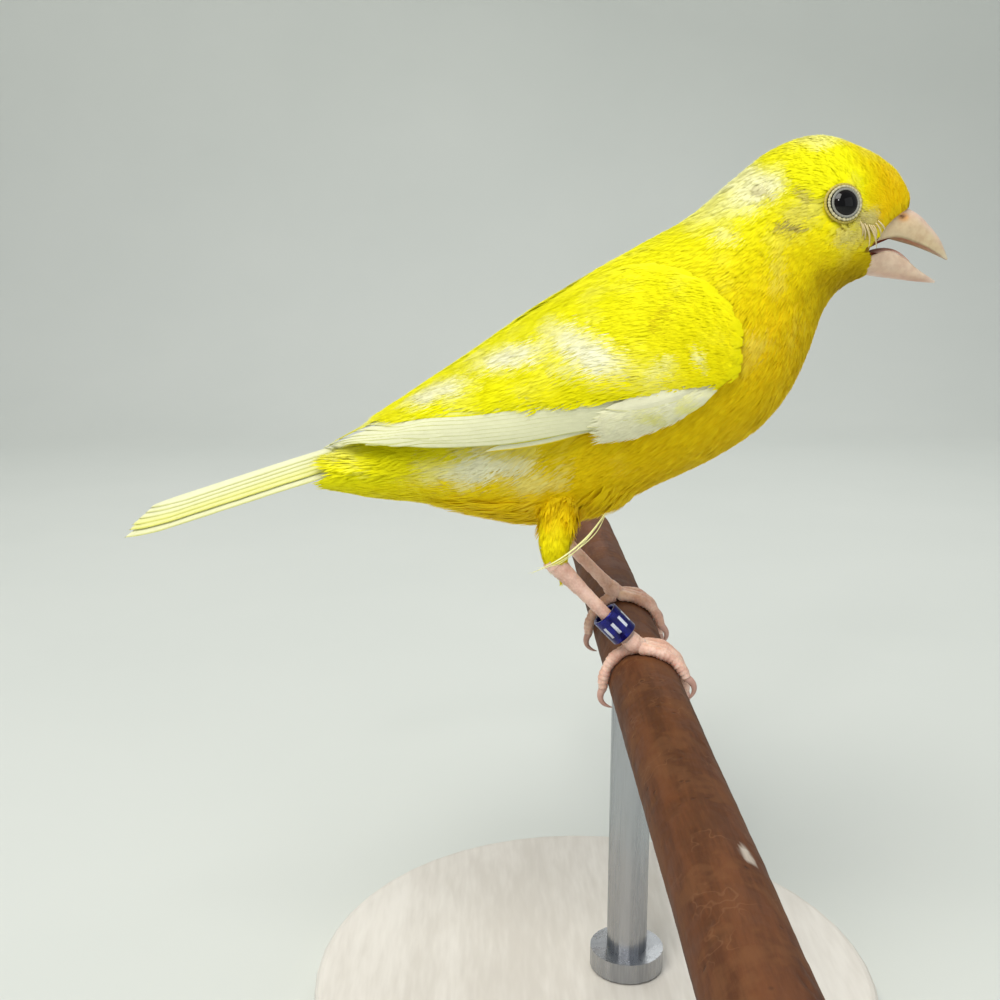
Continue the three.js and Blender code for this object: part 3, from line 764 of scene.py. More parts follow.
def effect_group(name: str, inputs: dict[str, float], outputs: dict[str, str]) -> tuple:
    """Starts a shader node group.

    Args:
        name: the group's name.
        inputs: names and first values of its number inputs; a vector input named Place comes before them.
        outputs: names and socket types of its outputs.

    Returns:
        The group, its node maker, its input node and its output node.
    """
    group = bpy.data.node_groups.new(name, "ShaderNodeTree")
    group.interface.new_socket("Place", in_out="INPUT", socket_type="NodeSocketVector")
    for label, value in inputs.items():
        socket = group.interface.new_socket(label, in_out="INPUT", socket_type="NodeSocketFloat")
        socket.default_value = value
    for label, kind in outputs.items():
        group.interface.new_socket(label, in_out="OUTPUT", socket_type=kind)
    nodes = Nodes(group)
    return group, nodes, group.nodes.new("NodeGroupInput"), group.nodes.new("NodeGroupOutput")


def mottle_group() -> bpy.types.NodeTree:
    """Broad and fine noise over a surface, as a mask and a height.

    Returns:
        The node group.
    """
    group, nodes, given, result = effect_group(
        "mottle", {"Broad": 120.0, "Fine": 900.0}, {"Mask": "NodeSocketFloat", "Height": "NodeSocketFloat"})
    broad, fine = (nodes.add("ShaderNodeTexNoise", Vector=given.outputs["Place"], Scale=given.outputs[size],
                             Detail=detail) for size, detail in (("Broad", 4.0), ("Fine", 2.0)))
    mask = nodes.math("MULTIPLY", broad.outputs["Fac"], 0.7)
    mask = nodes.math("ADD", mask, nodes.math("MULTIPLY", fine.outputs["Fac"], 0.3))
    nodes.feed(result.inputs["Mask"], nodes.span(mask, 0.35, 0.65, 0.0, 1.0))
    nodes.feed(result.inputs["Height"], mask)
    return group


def barb_group() -> bpy.types.NodeTree:
    """Barbs of a vane: fine slanting lines that run out from the shaft, wavered by noise.

    Returns:
        The node group.
    """
    group, nodes, given, result = effect_group(
        "barbs", {"Spacing": 0.16, "Slant": 2.2}, {"Mask": "NodeSocketFloat", "Height": "NodeSocketFloat"})
    parts = nodes.add("ShaderNodeSeparateXYZ", Vector=given.outputs["Place"])
    out = nodes.math("ABSOLUTE", parts.outputs["X"])
    along = nodes.math("ADD", parts.outputs["Y"], nodes.math("MULTIPLY", out, given.outputs["Slant"]))
    waver = nodes.noise(given.outputs["Place"], 0.8, 2.0)
    along = nodes.math("ADD", along, nodes.math("MULTIPLY", waver, 0.5))
    phase = nodes.math("DIVIDE", along, given.outputs["Spacing"])
    line = nodes.math("SINE", nodes.math("MULTIPLY", phase, 2 * math.pi))
    streak = nodes.math("ADD", nodes.math("MULTIPLY", line, 0.3), waver)
    nodes.feed(result.inputs["Mask"], nodes.span(streak, 0.2, 0.9, 0.0, 1.0))
    nodes.feed(result.inputs["Height"], line)
    return group


class Workshop:
    """Node groups that more than one finish uses, made once."""

    def __init__(self) -> None:
        """Makes the groups."""
        self.mottle = mottle_group()
        self.barbs = barb_group()


def new_material(name: str) -> tuple[Material, Nodes, bpy.types.Node]:
    """Starts a material.

    Args:
        name: the material's name.

    Returns:
        The material, its node maker and its Principled shader.
    """
    material = bpy.data.materials.new(name)
    material.use_nodes = True
    nodes = Nodes(material.node_tree)
    return material, nodes, material.node_tree.nodes["Principled BSDF"]


def place_group(nodes: Nodes, group: bpy.types.NodeTree, place: object, **values: float) -> bpy.types.Node:
    """Puts a shared effect into a material, with its own values.

    Args:
        nodes: the material's node maker.
        group: the effect.
        place: socket with the places it reads.
        values: its inputs.

    Returns:
        The group's node.
    """
    node = nodes.tree.nodes.new("ShaderNodeGroup")
    node.node_tree = group
    nodes.feed(node.inputs["Place"], place)
    for key, value in values.items():
        node.inputs[key].default_value = value
    return node


@dataclass(frozen=True)
class PlumageFinish:
    """Small feathers and vanes: the point colours, a little variation, and barbs on a patterned piece."""

    name: str
    roughness: float = 0.7
    specular: float = 0.12
    patterned: bool = False
    barb_depth: float = 0.00003
    variation: float = 0.05

    def material(self, shop: Workshop) -> Material:
        """Builds the material.

        Args:
            shop: the shared node groups.

        Returns:
            The finished material.
        """
        material, nodes, shader = new_material(self.name)
        tint = nodes.add("ShaderNodeAttribute", attribute_name=TINT)
        place = nodes.add("ShaderNodeTexCoord").outputs["Object"]
        mottle = place_group(nodes, shop.mottle, place, Broad=260.0, Fine=1500.0)
        darker = nodes.add("ShaderNodeHueSaturation", Color=tint.outputs["Color"], Value=1.0 - self.variation,
                           Saturation=1.02)
        colour = nodes.blend(mottle.outputs["Mask"], darker.outputs["Color"], tint.outputs["Color"])
        shader.inputs["Roughness"].default_value = self.roughness
        shader.inputs["Specular IOR Level"].default_value = self.specular
        if self.patterned:
            uv = nodes.add("ShaderNodeUVMap", uv_map=PATTERN_UV).outputs["UV"]
            barbs = place_group(nodes, shop.barbs, uv)
            shaded = nodes.add("ShaderNodeHueSaturation", Color=colour, Value=0.93, Saturation=1.05)
            colour = nodes.blend(barbs.outputs["Mask"], shaded.outputs["Color"], colour)
            bump = nodes.add("ShaderNodeBump", Strength=0.5, Distance=self.barb_depth,
                             Height=barbs.outputs["Height"])
            nodes.feed(shader.inputs["Normal"], bump.outputs["Normal"])
        nodes.feed(shader.inputs["Base Color"], colour)
        return material


@dataclass(frozen=True)
class MottledFinish:
    """Horn, skin, lacquer or wood: two tones over a mottle, with its bump."""

    name: str
    dark: tuple
    light: tuple
    roughness: float = 0.45
    rough_spread: float = 0.08
    broad: float = 160.0
    fine: float = 1200.0
    bump: float = 0.00004
    bump_strength: float = 0.35
    coat: float = 0.0
    metallic: float = 0.0
    subsurface: float = 0.0
    use_tint: bool = False
    stretch: tuple = (1.0, 1.0, 1.0)

    def material(self, shop: Workshop) -> Material:
        """Builds the material.

        Args:
            shop: the shared node groups.

        Returns:
            The finished material.
        """
        material, nodes, shader = new_material(self.name)
        place = nodes.add("ShaderNodeTexCoord").outputs["Object"]
        place = nodes.add("ShaderNodeMapping", Vector=place, Scale=self.stretch).outputs["Vector"]
        mottle = place_group(nodes, shop.mottle, place, Broad=self.broad, Fine=self.fine)
        colour = nodes.blend(mottle.outputs["Mask"], rgba(srgb(*self.dark)), rgba(srgb(*self.light)))
        if self.use_tint:
            colour = nodes.tinted(colour)
        rough = nodes.span(mottle.outputs["Mask"], 0.0, 1.0, self.roughness + self.rough_spread,
                           self.roughness - self.rough_spread)
        bump = nodes.add("ShaderNodeBump", Strength=self.bump_strength, Distance=self.bump,
                         Height=mottle.outputs["Height"])
        nodes.feed(shader.inputs["Base Color"], colour)
        nodes.feed(shader.inputs["Roughness"], rough)
        nodes.feed(shader.inputs["Normal"], bump.outputs["Normal"])
        shader.inputs["Metallic"].default_value = self.metallic
        shader.inputs["Coat Weight"].default_value = self.coat
        shader.inputs["Coat Roughness"].default_value = 0.08
        if self.subsurface:
            shader.inputs["Subsurface Weight"].default_value = self.subsurface
            shader.inputs["Subsurface Radius"].default_value = (0.0012, 0.0006, 0.0004)
            shader.inputs["Subsurface Scale"].default_value = 1.0
        return material


@dataclass(frozen=True)
class Mark:
    """A soft-edged patch of colour, placed in the side view on both sides of the bird."""

    x: float
    z: float
    long: float
    high: float
    colour: Array
    strength: float
    turn: float = 0.0
    ragged: float = 0.45
    near: float | None = None

    def share(self, points: Array, seed: int) -> Array:
        """How strongly the mark colours each place: an ellipse's falloff, made ragged by noise.

        Args:
            points: places in the bird's frame.
            seed: picks the noise.

        Returns:
            Shares from 0 to the mark's strength.
        """
        dx, dz = points[..., 0] - self.x, points[..., 2] - self.z
        c, s = math.cos(math.radians(self.turn)), math.sin(math.radians(self.turn))
        radius = np.hypot((dx * c + dz * s) / self.long, (dz * c - dx * s) / self.high)
        radius = radius + self.ragged * (soft_noise(points, 2.2, seed) - 0.5) * 2
        share = self.strength * smoothstep(radius, 1.5, 0.3)
        if self.near is not None:
            share = share * smoothstep(np.abs(points[..., 1]), self.near, self.near + 1.5)
        return share


@dataclass(frozen=True)
class Markings:
    """The yellow canary's colours, shared by its skin, coat and wing coverts."""

    marks: tuple = (
        Mark(31.6, 61.6, 4.2, 4.6, GOLD, 0.85, turn=-20),
        Mark(29.0, 66.8, 4.0, 2.2, GOLD, 0.35, turn=-40),
        Mark(23.6, 69.4, 3.4, 1.5, PALE, 0.5),
        Mark(13.6, 63.4, 3.6, 2.4, WHITE, 0.8, turn=35),
        Mark(10.0, 61.0, 3.6, 2.0, PALE, 0.6, turn=35),
        Mark(9.6, 57.4, 1.6, 1.0, PALE, 0.5),
        Mark(14.2, 62.8, 1.4, 0.8, SMOKE, 0.35, turn=-20, near=4.0),
        Mark(19.6, 62.3, 1.4, 0.6, SMOKE, 0.55, turn=-35, near=4.5),
        Mark(17.8, 58.4, 1.9, 0.5, SMOKE, 0.75, turn=-8, near=4.5),
        Mark(18.6, 60.2, 2.6, 1.9, BUFF, 0.4, near=4.5),
        Mark(28.3, 59.3, 1.7, 1.4, BUFF, 0.85, turn=-15, near=2.5),
        Mark(27.2, 59.8, 1.2, 0.5, SMOKE, 0.5, turn=-40, near=2.5),
        Mark(25.6, 57.6, 2.6, 1.3, BUFF, 0.6, near=4.0),
        Mark(24.6, 60.9, 2.9, 2.8, BUFF, 0.5, near=4.0),
        # Throat: its own olive-brown, darkened further as painted shade under the chin
        Mark(26.0, 52.0, 6.0, 3.4, OLIVE_SHADE, 0.55, turn=15),
        Mark(28.5, 55.7, 0.5, 0.6, GAPE_BROWN, 0.85, near=2.5, ragged=0.2),
        Mark(-7.6, 43.4, 5.2, 1.9, WHITE, 1.0, turn=-30, near=8.0, ragged=0.3),
        Mark(-10.6, 41.6, 2.4, 1.0, PALE, 0.6, near=8.0),
        Mark(-16.8, 42.3, 4.4, 1.1, WHITE, 1.0, turn=16, near=3.0, ragged=0.3),
        Mark(-26.3, 37.2, 4.6, 0.8, WHITE, 0.9, turn=22, near=3.0, ragged=0.3),
        Mark(-22.0, 43.4, 5.0, 1.0, PALE, 0.6, turn=34, near=2.0),
        Mark(0.6, 40.9, 2.4, 1.2, PALE, 0.55, turn=40, near=8.0),
        Mark(5.6, 42.5, 0.5, 1.5, PALE, 0.8, turn=20, near=8.0, ragged=0.15),
        # Thin dark line where the scapulars overlap the lesser coverts: painted shade in the crease
        Mark(1.0, 47.2, 3.4, 0.3, OLIVE_SHADE, 0.4, turn=53, near=8.0, ragged=0.15),
        Mark(-21.5, 28.2, 6.6, 2.2, WHITE, 0.95, turn=14),
        Mark(-14.0, 26.5, 4.0, 1.4, PALE, 0.5, turn=14),
        Mark(-41.0, 28.6, 3.4, 1.8, WHITE, 0.8),
    )
    # How much the underside turns golden: painted shade on the parts that face away from the lamps
    painted_shade_below: float = 0.85
    # Line of the back in the side view, from the tail's root to the brow
    back_x: tuple = (-44.0, -32.6, -21.0, -7.0, 6.0, 16.8, 28.4, 36.0)
    back_z: tuple = (28.0, 34.2, 42.6, 52.4, 59.8, 68.6, 68.9, 63.0)

    def colour(self, points: Array, seed: int = 3) -> Array:
        """Colour at places: lemon, turned golden below the back as painted shade, varied by noise, with each
        mark over it.

        Args:
            points: places in the bird's frame.
            seed: picks the noise.

        Returns:
            A linear colour for each place.
        """
        broad = soft_noise(points, 7.0, seed)
        back = np.interp(points[..., 0], self.back_x, self.back_z)
        # Painted shade: golden more and more below the line of the back, plus a little random golden tone
        # from the noise
        under = smoothstep(back - points[..., 2], 2.0, 24.0)
        colour = mix(LEMON, GOLDEN, np.clip(0.1 * broad + self.painted_shade_below * under, 0, 1))
        colour = mix(colour, PALE, 0.12 * smoothstep(soft_noise(points, 3.2, seed + 1), 0.6, 0.95))
        for number, mark in enumerate(self.marks):
            colour = mix(colour, mark.colour, mark.share(points, seed + 11 + number))
        return colour


@dataclass(frozen=True)
class Eye:
    """Eyeball, smooth inner lid and beaded outer lid; the place is on the body's surface."""

    section: float = 3.75
    angle: float = 78.0
    radius: float = 2.5
    depth: float = 1.9
    iris: float = 1.62
    pupil: float = 1.2
    # Each ring: radius of its middle line, radius of its tube, number and height of its beads, seat, colour
    rings: tuple = (
        (2.36, 0.2, 40, 0.0, -0.42, (206, 186, 84)),
        (2.08, 0.15, 27, 0.1, -0.12, (212, 204, 164)),
        (1.73, 0.17, 40, 0.0, 0.0, (156, 155, 144)),
    )
    seat_radius: float = 1.73
    corner: float = 0.16

    def axes(self, body: BodyShape) -> tuple[Array, Array, Array, Array]:
        """Middle of the opening and the eye's three directions.

        Args:
            body: the surface that carries the eye.

        Returns:
            The middle, the way the right eye looks, and two directions across it, back and up.
        """
        u, v = np.array(self.section), np.array(math.radians(self.angle))
        look = body.normal(u, v)
        across = unit(np.cross(look, np.array([0.0, 0.0, 1.0])))
        return body.point(u, v), look, across, np.cross(across, look)

    def ball(self, body: BodyShape, dark: Array, brown: Array) -> Shell:
        """The eyeball: a sphere by angle from its look and angle round it, with pupil and iris as colours.

        Args:
            body: the surface that carries the eye.
            dark, brown: colours of the pupil and the iris.

        Returns:
            The closed ball.
        """
        middle, look, across, up = self.axes(body)
        polar = np.linspace(0.02, math.pi - 0.02, 40)[:, None]
        turn = turns(48)[None, :]
        ring = np.sin(polar)[..., None] * (np.cos(turn)[..., None] * across + np.sin(turn)[..., None] * up)
        ball = middle - look * self.depth + self.radius * (ring + np.cos(polar)[..., None] * look)
        from_axis = self.radius * np.sin(polar) + 0 * turn
        colour = mix(dark, brown, smoothstep(from_axis, self.pupil, self.pupil + 0.12))
        colour = mix(colour, dark, smoothstep(from_axis, self.iris - 0.15, self.iris))
        shell = Shell()
        shell.add_rings(ball, colour)
        return shell

    def lids(self, body: BodyShape) -> Shell:
        """Socket and lid rings: tubes, one of them beaded, drawn out a little at the back corner.

        Args:
            body: the surface that carries the eye.

        Returns:
            The closed rings, with painted shade between their beads and on each tube's inner side.
        """
        middle, look, across, up = self.axes(body)
        shell = Shell()
        turn = turns(240)[:, None]
        tube = turns(8)[None, :]
        for radius, thickness, beads, height, seat, tone in self.rings:
            bead = 0.5 + 0.5 * np.cos(beads * turn + 1.4 * np.sin(3 * turn) + np.sin(7 * turn))
            size = (0.7 - 0.3 * np.sin(turn)) * (0.8 + 0.2 * np.sin(5 * turn + 1))
            swell = thickness + height * bead * size
            back = self.corner * np.maximum(np.cos(turn), 0) ** 3
            out = radius + back * (radius - self.iris) * 2 + swell * np.cos(tube)
            edge = math.sqrt(self.radius**2 - self.seat_radius**2) - self.depth
            lift = edge + seat + 0.5 * thickness + 0.7 * swell * np.sin(tube)
            ring = middle + out[..., None] * (np.cos(turn)[..., None] * across + np.sin(turn)[..., None] * up)
            # Painted shade: darker between the beads and on the side of each tube turned in towards the head
            light = (0.35 + 0.65 * bead) * smoothstep(np.sin(tube), -0.7, 0.6)
            shell.add_loop(ring + lift[..., None] * look, mix(srgb(*tone) * 0.6, srgb(*tone), light))
        return shell


@dataclass(frozen=True)
class Bill:
    """Upper and lower halves of the open bill, the nostrils and the tongue."""

    # Ridge x, z, cutting edge x, z, half width, from the root to the tip
    upper: tuple = (
        (32.4, 61.9, 29.0, 56.3, 4.3),
        (36.0, 60.5, 32.6, 57.1, 3.5),
        (38.2, 58.7, 35.8, 56.4, 2.4),
        (39.9, 56.7, 38.5, 55.4, 1.35),
        (41.1, 54.3, 40.9, 54.15, 0.15),
    )
    lower: tuple = (
        (29.2, 52.3, 28.8, 54.5, 4.1),
        (31.9, 51.9, 31.8, 55.4, 3.5),
        (34.3, 51.6, 34.1, 54.6, 2.7),
        (36.9, 51.3, 36.5, 53.0, 1.7),
        (39.5, 51.1, 39.6, 51.35, 0.15),
    )
    hollow: float = 0.55
    nostril: tuple = (33.7, 2.9, 59.8)
    nostril_radius: float = 0.42
    gape: tuple = (28.9, 55.55)
    # Middle line: x, y, z, radius; then how much wider than thick
    tongue: tuple = ((29.8, 0, 54.7, 0.5), (31.9, 0, 55.3, 0.45), (33.9, 0, 55.05, 0.38),
                     (35.8, 0, 53.95, 0.14))
    tongue_flatness: float = 2.6

    def half(self, rows: tuple, ridge_tone: Array, edge_tone: Array, lining: Array) -> Shell:
        """One half: arched rings from edge over the ridge to edge, closed below by the hollow lining.

        Args:
            rows: the half's table.
            ridge_tone, edge_tone: colours of the outside along its ridge and its cutting edge.
            lining: colour of the hollow.

        Returns:
            The closed shell, with the colour of each point.
        """
        steps, arch, floor = 56, 44, 14
        index = (len(rows) - 1) * np.linspace(0, 1, steps) ** 0.9
        rx, rz, ex, ez, width = np.moveaxis(rows_at(np.array(rows), index), -1, 0)
        ridge = np.stack([rx - ex, 0 * rx, rz - ez], -1)
        reach = np.linalg.norm(ridge, axis=-1)
        ridge = unit(ridge)
        edge = np.stack([ex, 0 * ex, ez], -1)
        angle = np.linspace(-math.pi / 2, math.pi / 2, arch)[None, :]
        over = edge[:, None] + ridge[:, None] * (reach[:, None] * np.cos(angle) ** 0.85)[..., None]
        over[..., 1] += width[:, None] * np.sin(angle)
        share = np.linspace(1, -1, floor + 2)[1:-1][None, :]
        dip = reach[:, None] * self.hollow * (1 - share**2) ** 0.8
        under = edge[:, None] + ridge[:, None] * dip[..., None]
        under[..., 1] += width[:, None] * share * 0.97
        grid = np.concatenate([over, under], axis=1)
        below = np.ones((steps, floor))
        lip = np.concatenate([np.broadcast_to(np.abs(np.sin(angle)), (steps, arch)), below], 1)
        inside = np.concatenate([np.zeros((steps, arch)), below], 1)
        along = np.linspace(0, 1, steps)[:, None] + 0 * lip
        outer = mix(ridge_tone, edge_tone, smoothstep(lip, 0.35, 0.95))
        outer = mix(outer, edge_tone * np.array([1.06, 1.14, 1.3]), smoothstep(along, 0.72, 1.0))
        colour = mix(outer, mix(lining, ridge_tone * 0.85, smoothstep(along, 0.35, 0.9)), inside)
        for side in (-1, 1):
            centre = np.array([self.nostril[0], side * self.nostril[1], self.nostril[2]])
            away = np.linalg.norm((grid - centre) * np.array([1.0, 1.0, 1.3]), axis=-1)
            grid[..., 1] -= side * 0.6 * smoothstep(away, self.nostril_radius * 1.5, 0.0)
            # Orange rim round each nostril; the dark brown in its middle is painted shade in the opening
            colour = mix(colour, srgb(236, 176, 92), 0.8 * smoothstep(away, self.nostril_radius * 3.0, 0.4))
            colour = mix(colour, srgb(104, 50, 20), smoothstep(away, self.nostril_radius * 1.3, 0.1))
        shell = Shell()
        shell.add_rings(grid, colour)
        return shell


@dataclass
class TuftPlan:
    """What the tufts of one tract are like: arrays with one number for each tuft."""

    u: Array
    v: Array
    length: Array
    width: Array
    rise: Array
    turn: Array
    strands: int = 7
    fine: float = 0.3
    ruffle: float = 0.05
    base: float = -0.25

    def keep(self, chosen: Array) -> "TuftPlan":
        """The same plan with only the chosen tufts."""
        arrays = {key: getattr(self, key)[chosen] for key in ("u", "v", "length", "width", "rise", "turn")}
        return TuftPlan(**arrays, strands=self.strands, fine=self.fine, ruffle=self.ruffle, base=self.base)


@dataclass
class CoatMaker:
    """Lays tufts on a surface: each is a fan of closed blades that follow the skin from root to tip."""

    surface: Surface
    markings: Markings
    lay: float = 1.0
    depth: float = 0.0
    unwrap: tuple = (1.0, 1.0)

    def spread(self, u_range: tuple, v_range: tuple, count: int, weight: object = None,
               seed: int = 1) -> tuple[Array, Array]:
        """Spreads roots evenly over a stretch of the surface.

        Args:
            u_range, v_range: the stretch.
            count: how many roots.
            weight: function of u and v that says how dense they stand, or None.
            seed: shifts the sequence.

        Returns:
            The u and v of each root, from a golden-ratio sequence sent through the stretch's share of area.
        """
        rows, columns = 160, 96
        u = np.linspace(*u_range, rows)
        v = np.linspace(*v_range, columns)
        uu, vv = np.meshgrid(u, v, indexing="ij")
        along, around = self.surface.slopes(uu, vv)
        area = np.linalg.norm(np.cross(along, around), axis=-1)
        if weight is not None:
            area = area * weight(uu, vv)
        area = area + 1e-9
        row_share = np.cumsum(area.sum(1))
        row_share = np.concatenate([[0], row_share / row_share[-1]])
        index = np.arange(count) + 1 + seed * 977
        first = (index * 0.7548776662466927) % 1.0
        second = (index * 0.5698402909980532) % 1.0
        at_row = np.interp(first, row_share, np.arange(rows + 1)) - 0.5
        row = np.clip(np.round(at_row).astype(int), 0, rows - 1)
        column_share = np.cumsum(area, 1) / area.sum(1, keepdims=True)
        stacked = (column_share + np.arange(rows)[:, None]).ravel()
        found = np.searchsorted(stacked, row + second * 0.999999)
        column = np.clip(found - row * columns, 0, columns - 1)
        below = np.where(column > 0, column_share[row, np.maximum(column - 1, 0)], 0.0)
        part = (second - below) / np.maximum(column_share[row, column] - below, 1e-9)
        at_column = column + np.clip(part, 0, 1) - 0.5
        return (np.interp(np.clip(at_row, 0, rows - 1), np.arange(rows), u),
                np.interp(np.clip(at_column, 0, columns - 1), np.arange(columns), v))

    def grow(self, shell: Shell, plan: TuftPlan, seed: int, tone: object = None) -> None:
        """Adds the tufts of a plan to a shell: each is a broad leaf with fine strands over and past its end.

        Args:
            shell: the shell that takes them.
            plan: what they are like.
            seed: number that picks their variation.
            tone: function of the places where they show that gives their colours, or None for the markings.
        """
        draw = np.random.default_rng(seed)
        count, strands = len(plan.u), plan.strands
        shown = self.surface.point(plan.u, plan.v, -self.depth)
        shown = shown + unit(self.surface.slopes(plan.u, plan.v)[0]) * (0.6 * plan.length[:, None])
        colour = self.markings.colour(shown) if tone is None else tone(shown)
        colour = colour * draw.normal(1.0, 0.02, (count, 1))
        leaf = Blades(np.zeros((count, 1)), 0.76 * plan.length[:, None] * draw.uniform(0.9, 1.08, (count, 1)),
                      0.58 * plan.width[:, None], plan.rise[:, None] * draw.uniform(0.76, 0.88, (count, 1)),
                      (0.0, 0.42, 0.82, 1.0), (0.6, 1.0, 0.72), 0.07, np.ones((count, 1)))
        fan = np.linspace(-1, 1, strands)[None, :] + draw.normal(0, 0.07, (count, strands))
        length = plan.length[:, None] * (1 - 0.2 * fan**2) * draw.uniform(0.84, 1.08, (count, strands))
        blade = 0.5 * plan.fine * draw.uniform(0.75, 1.2, (count, strands))
        lift = plan.rise[:, None] + 0.04 * draw.uniform(-0.8, 1.0, (count, strands)) - 0.08 * fan**2
        tones = draw.normal(1.0, plan.ruffle * 0.5, (count, strands))
        fine = Blades(fan, length, blade, lift, (0.0, 0.72, 1.0), (0.75, 1.0), 0.3, tones)
        for blades in (leaf, fine):
            self.lay_blades(shell, plan, blades, colour, seed)

    def lay_blades(self, shell: Shell, plan: TuftPlan, blades: "Blades", colour: Array, seed: int) -> None:
        """Adds one kind of blade of every tuft: closed three-sided leaves that follow the skin.

        Args:
            shell: the shell that takes them.
            plan: the tufts.
            blades: place in the fan, length, half width and height of each blade, and its outline.
            colour: of each tuft.
            seed: picks the tufts' lie.
        """
        count, per_tuft = blades.fan.shape
        root = self.surface.point(plan.u, plan.v, -self.depth)
        along, around = self.surface.slopes(plan.u, plan.v)
        outer, down = unit(np.cross(along, around)), unit(along)
        lie = self.lay * (soft_noise(root, 6.0, seed) - 0.5) + plan.turn
        heading = unit(down * np.cos(lie)[:, None] + np.cross(outer, down) * np.sin(lie)[:, None])
        beside = np.cross(outer, heading)
        spread = plan.width[:, None] * blades.fan
        u = np.broadcast_to(plan.u[:, None], spread.shape)
        v = np.broadcast_to(plan.v[:, None], spread.shape)
        u, v = self.surface.walk(u, v, beside[:, None] * (0.3 * spread)[..., None])
        centres, tops = [], []
        done, share_done = 0.3 * spread, 0.0
        for share in blades.stations:
            out = spread * (0.3 + share - 0.45 * share**2)
            step = (heading[:, None] * (blades.length * (share - share_done))[..., None]
                    + beside[:, None] * (out - done)[..., None])
            u, v = self.surface.walk(u, v, step)
            done, share_done = out, share
            height = plan.base + (blades.lift - plan.base) * share**0.75 - self.depth
            centres.append(self.surface.point(u, v, height))
            tops.append(unit(np.cross(*self.surface.slopes(u, v))))
        centres, tops = np.stack(centres, 2), np.stack(tops, 2)
        sides = unit(np.cross(tops, unit(np.gradient(centres, axis=2))))[:, :, :-1]
        half = (blades.half[..., None] * np.array(blades.shape))[..., None]
        body = centres[:, :, :-1]
        ring = [body - sides * half, body + tops[:, :, :-1] * (blades.ridge * half), body + sides * half]
        rings = np.stack(ring, 3).reshape(count, per_tuft, -1, 3)
        points = np.concatenate([rings, centres[:, :, -1:]], 2)
        steps, per = len(blades.shape), points.shape[2]
        faces = [(0, 1, 2)]
        for k in range(steps - 1):
            for j in range(3):
                a, b, n = 3 * k + j, 3 * k + 3 + j, (j + 1) % 3 - j
                faces += [(a, b, b + n), (a, b + n, a + n)]
        faces += [(3 * steps - 3 + j, per - 1, 3 * steps - 3 + (j + 1) % 3) for j in range(3)]
        faces = outward(points[0, 0], np.array(faces))
        triangles = (faces[None] + (np.arange(count * per_tuft) * per)[:, None, None]).reshape(-1, 3)
        share = np.concatenate([np.repeat(blades.stations[:-1], 3), [1.0]])
        # Painted shade: each blade darker towards its root, under the feathers above it
        root_shade = 0.94 + 0.06 * smoothstep(share, 0.0, 0.7)
        tinted = colour[:, None, None] * root_shade[:, None] * blades.tones[..., None, None]
        edge = np.array([*([-1.0, 0.0, 1.0] * steps), 0.0])
        lean = (0.16 * blades.fan[..., None] + 0.1 * edge)[..., None] * beside[:, None, None]
        tilt = heading[:, None, None] * (0.14 * share[:, None] - 0.04)
        over = np.concatenate([np.repeat(tops[:, :, :-1], 3, axis=2), tops[:, :, -1:]], 2)
        normals = unit(over + lean + tilt)
        place = np.stack([(plan.v * self.unwrap[1]) % 1.0, plan.u * self.unwrap[0]], -1)
        patch = np.stack(np.broadcast_arrays(blades.fan[..., None] * 0.4, share - 0.5), -1) * PATCH_SIZE
        shell.add(points.reshape(-1, 3), triangles, np.clip(tinted, 0, 1).reshape(-1, 3),
                  (place[:, None, None] + patch).reshape(-1, 2), normals=normals.reshape(-1, 3))


@dataclass(frozen=True)
class Blades:
    """Blades of one kind, one row for each tuft: what differs between blades, and their shared outline."""

    fan: Array
    length: Array
    half: Array
    lift: Array
    stations: tuple
    shape: tuple
    ridge: float
    tones: Array


@dataclass(frozen=True)
class VaneSpec:
    """One flight or tail feather: its shaft's path over a surface as rows of u and v, webs and colours."""

    path: tuple
    outer: float
    inner: float
    rise: float = 0.0
    root_sink: float = 1.2
    settled: float = 0.4
    tilt: float = 0.5
    point: float = 0.3
    tip_power: float = 1.7
    web: Array = field(default_factory=lambda: CREAM)
    edge: Array = field(default_factory=lambda: LEMON)
    edge_width: float = 0.16
    outer_way: int = 1


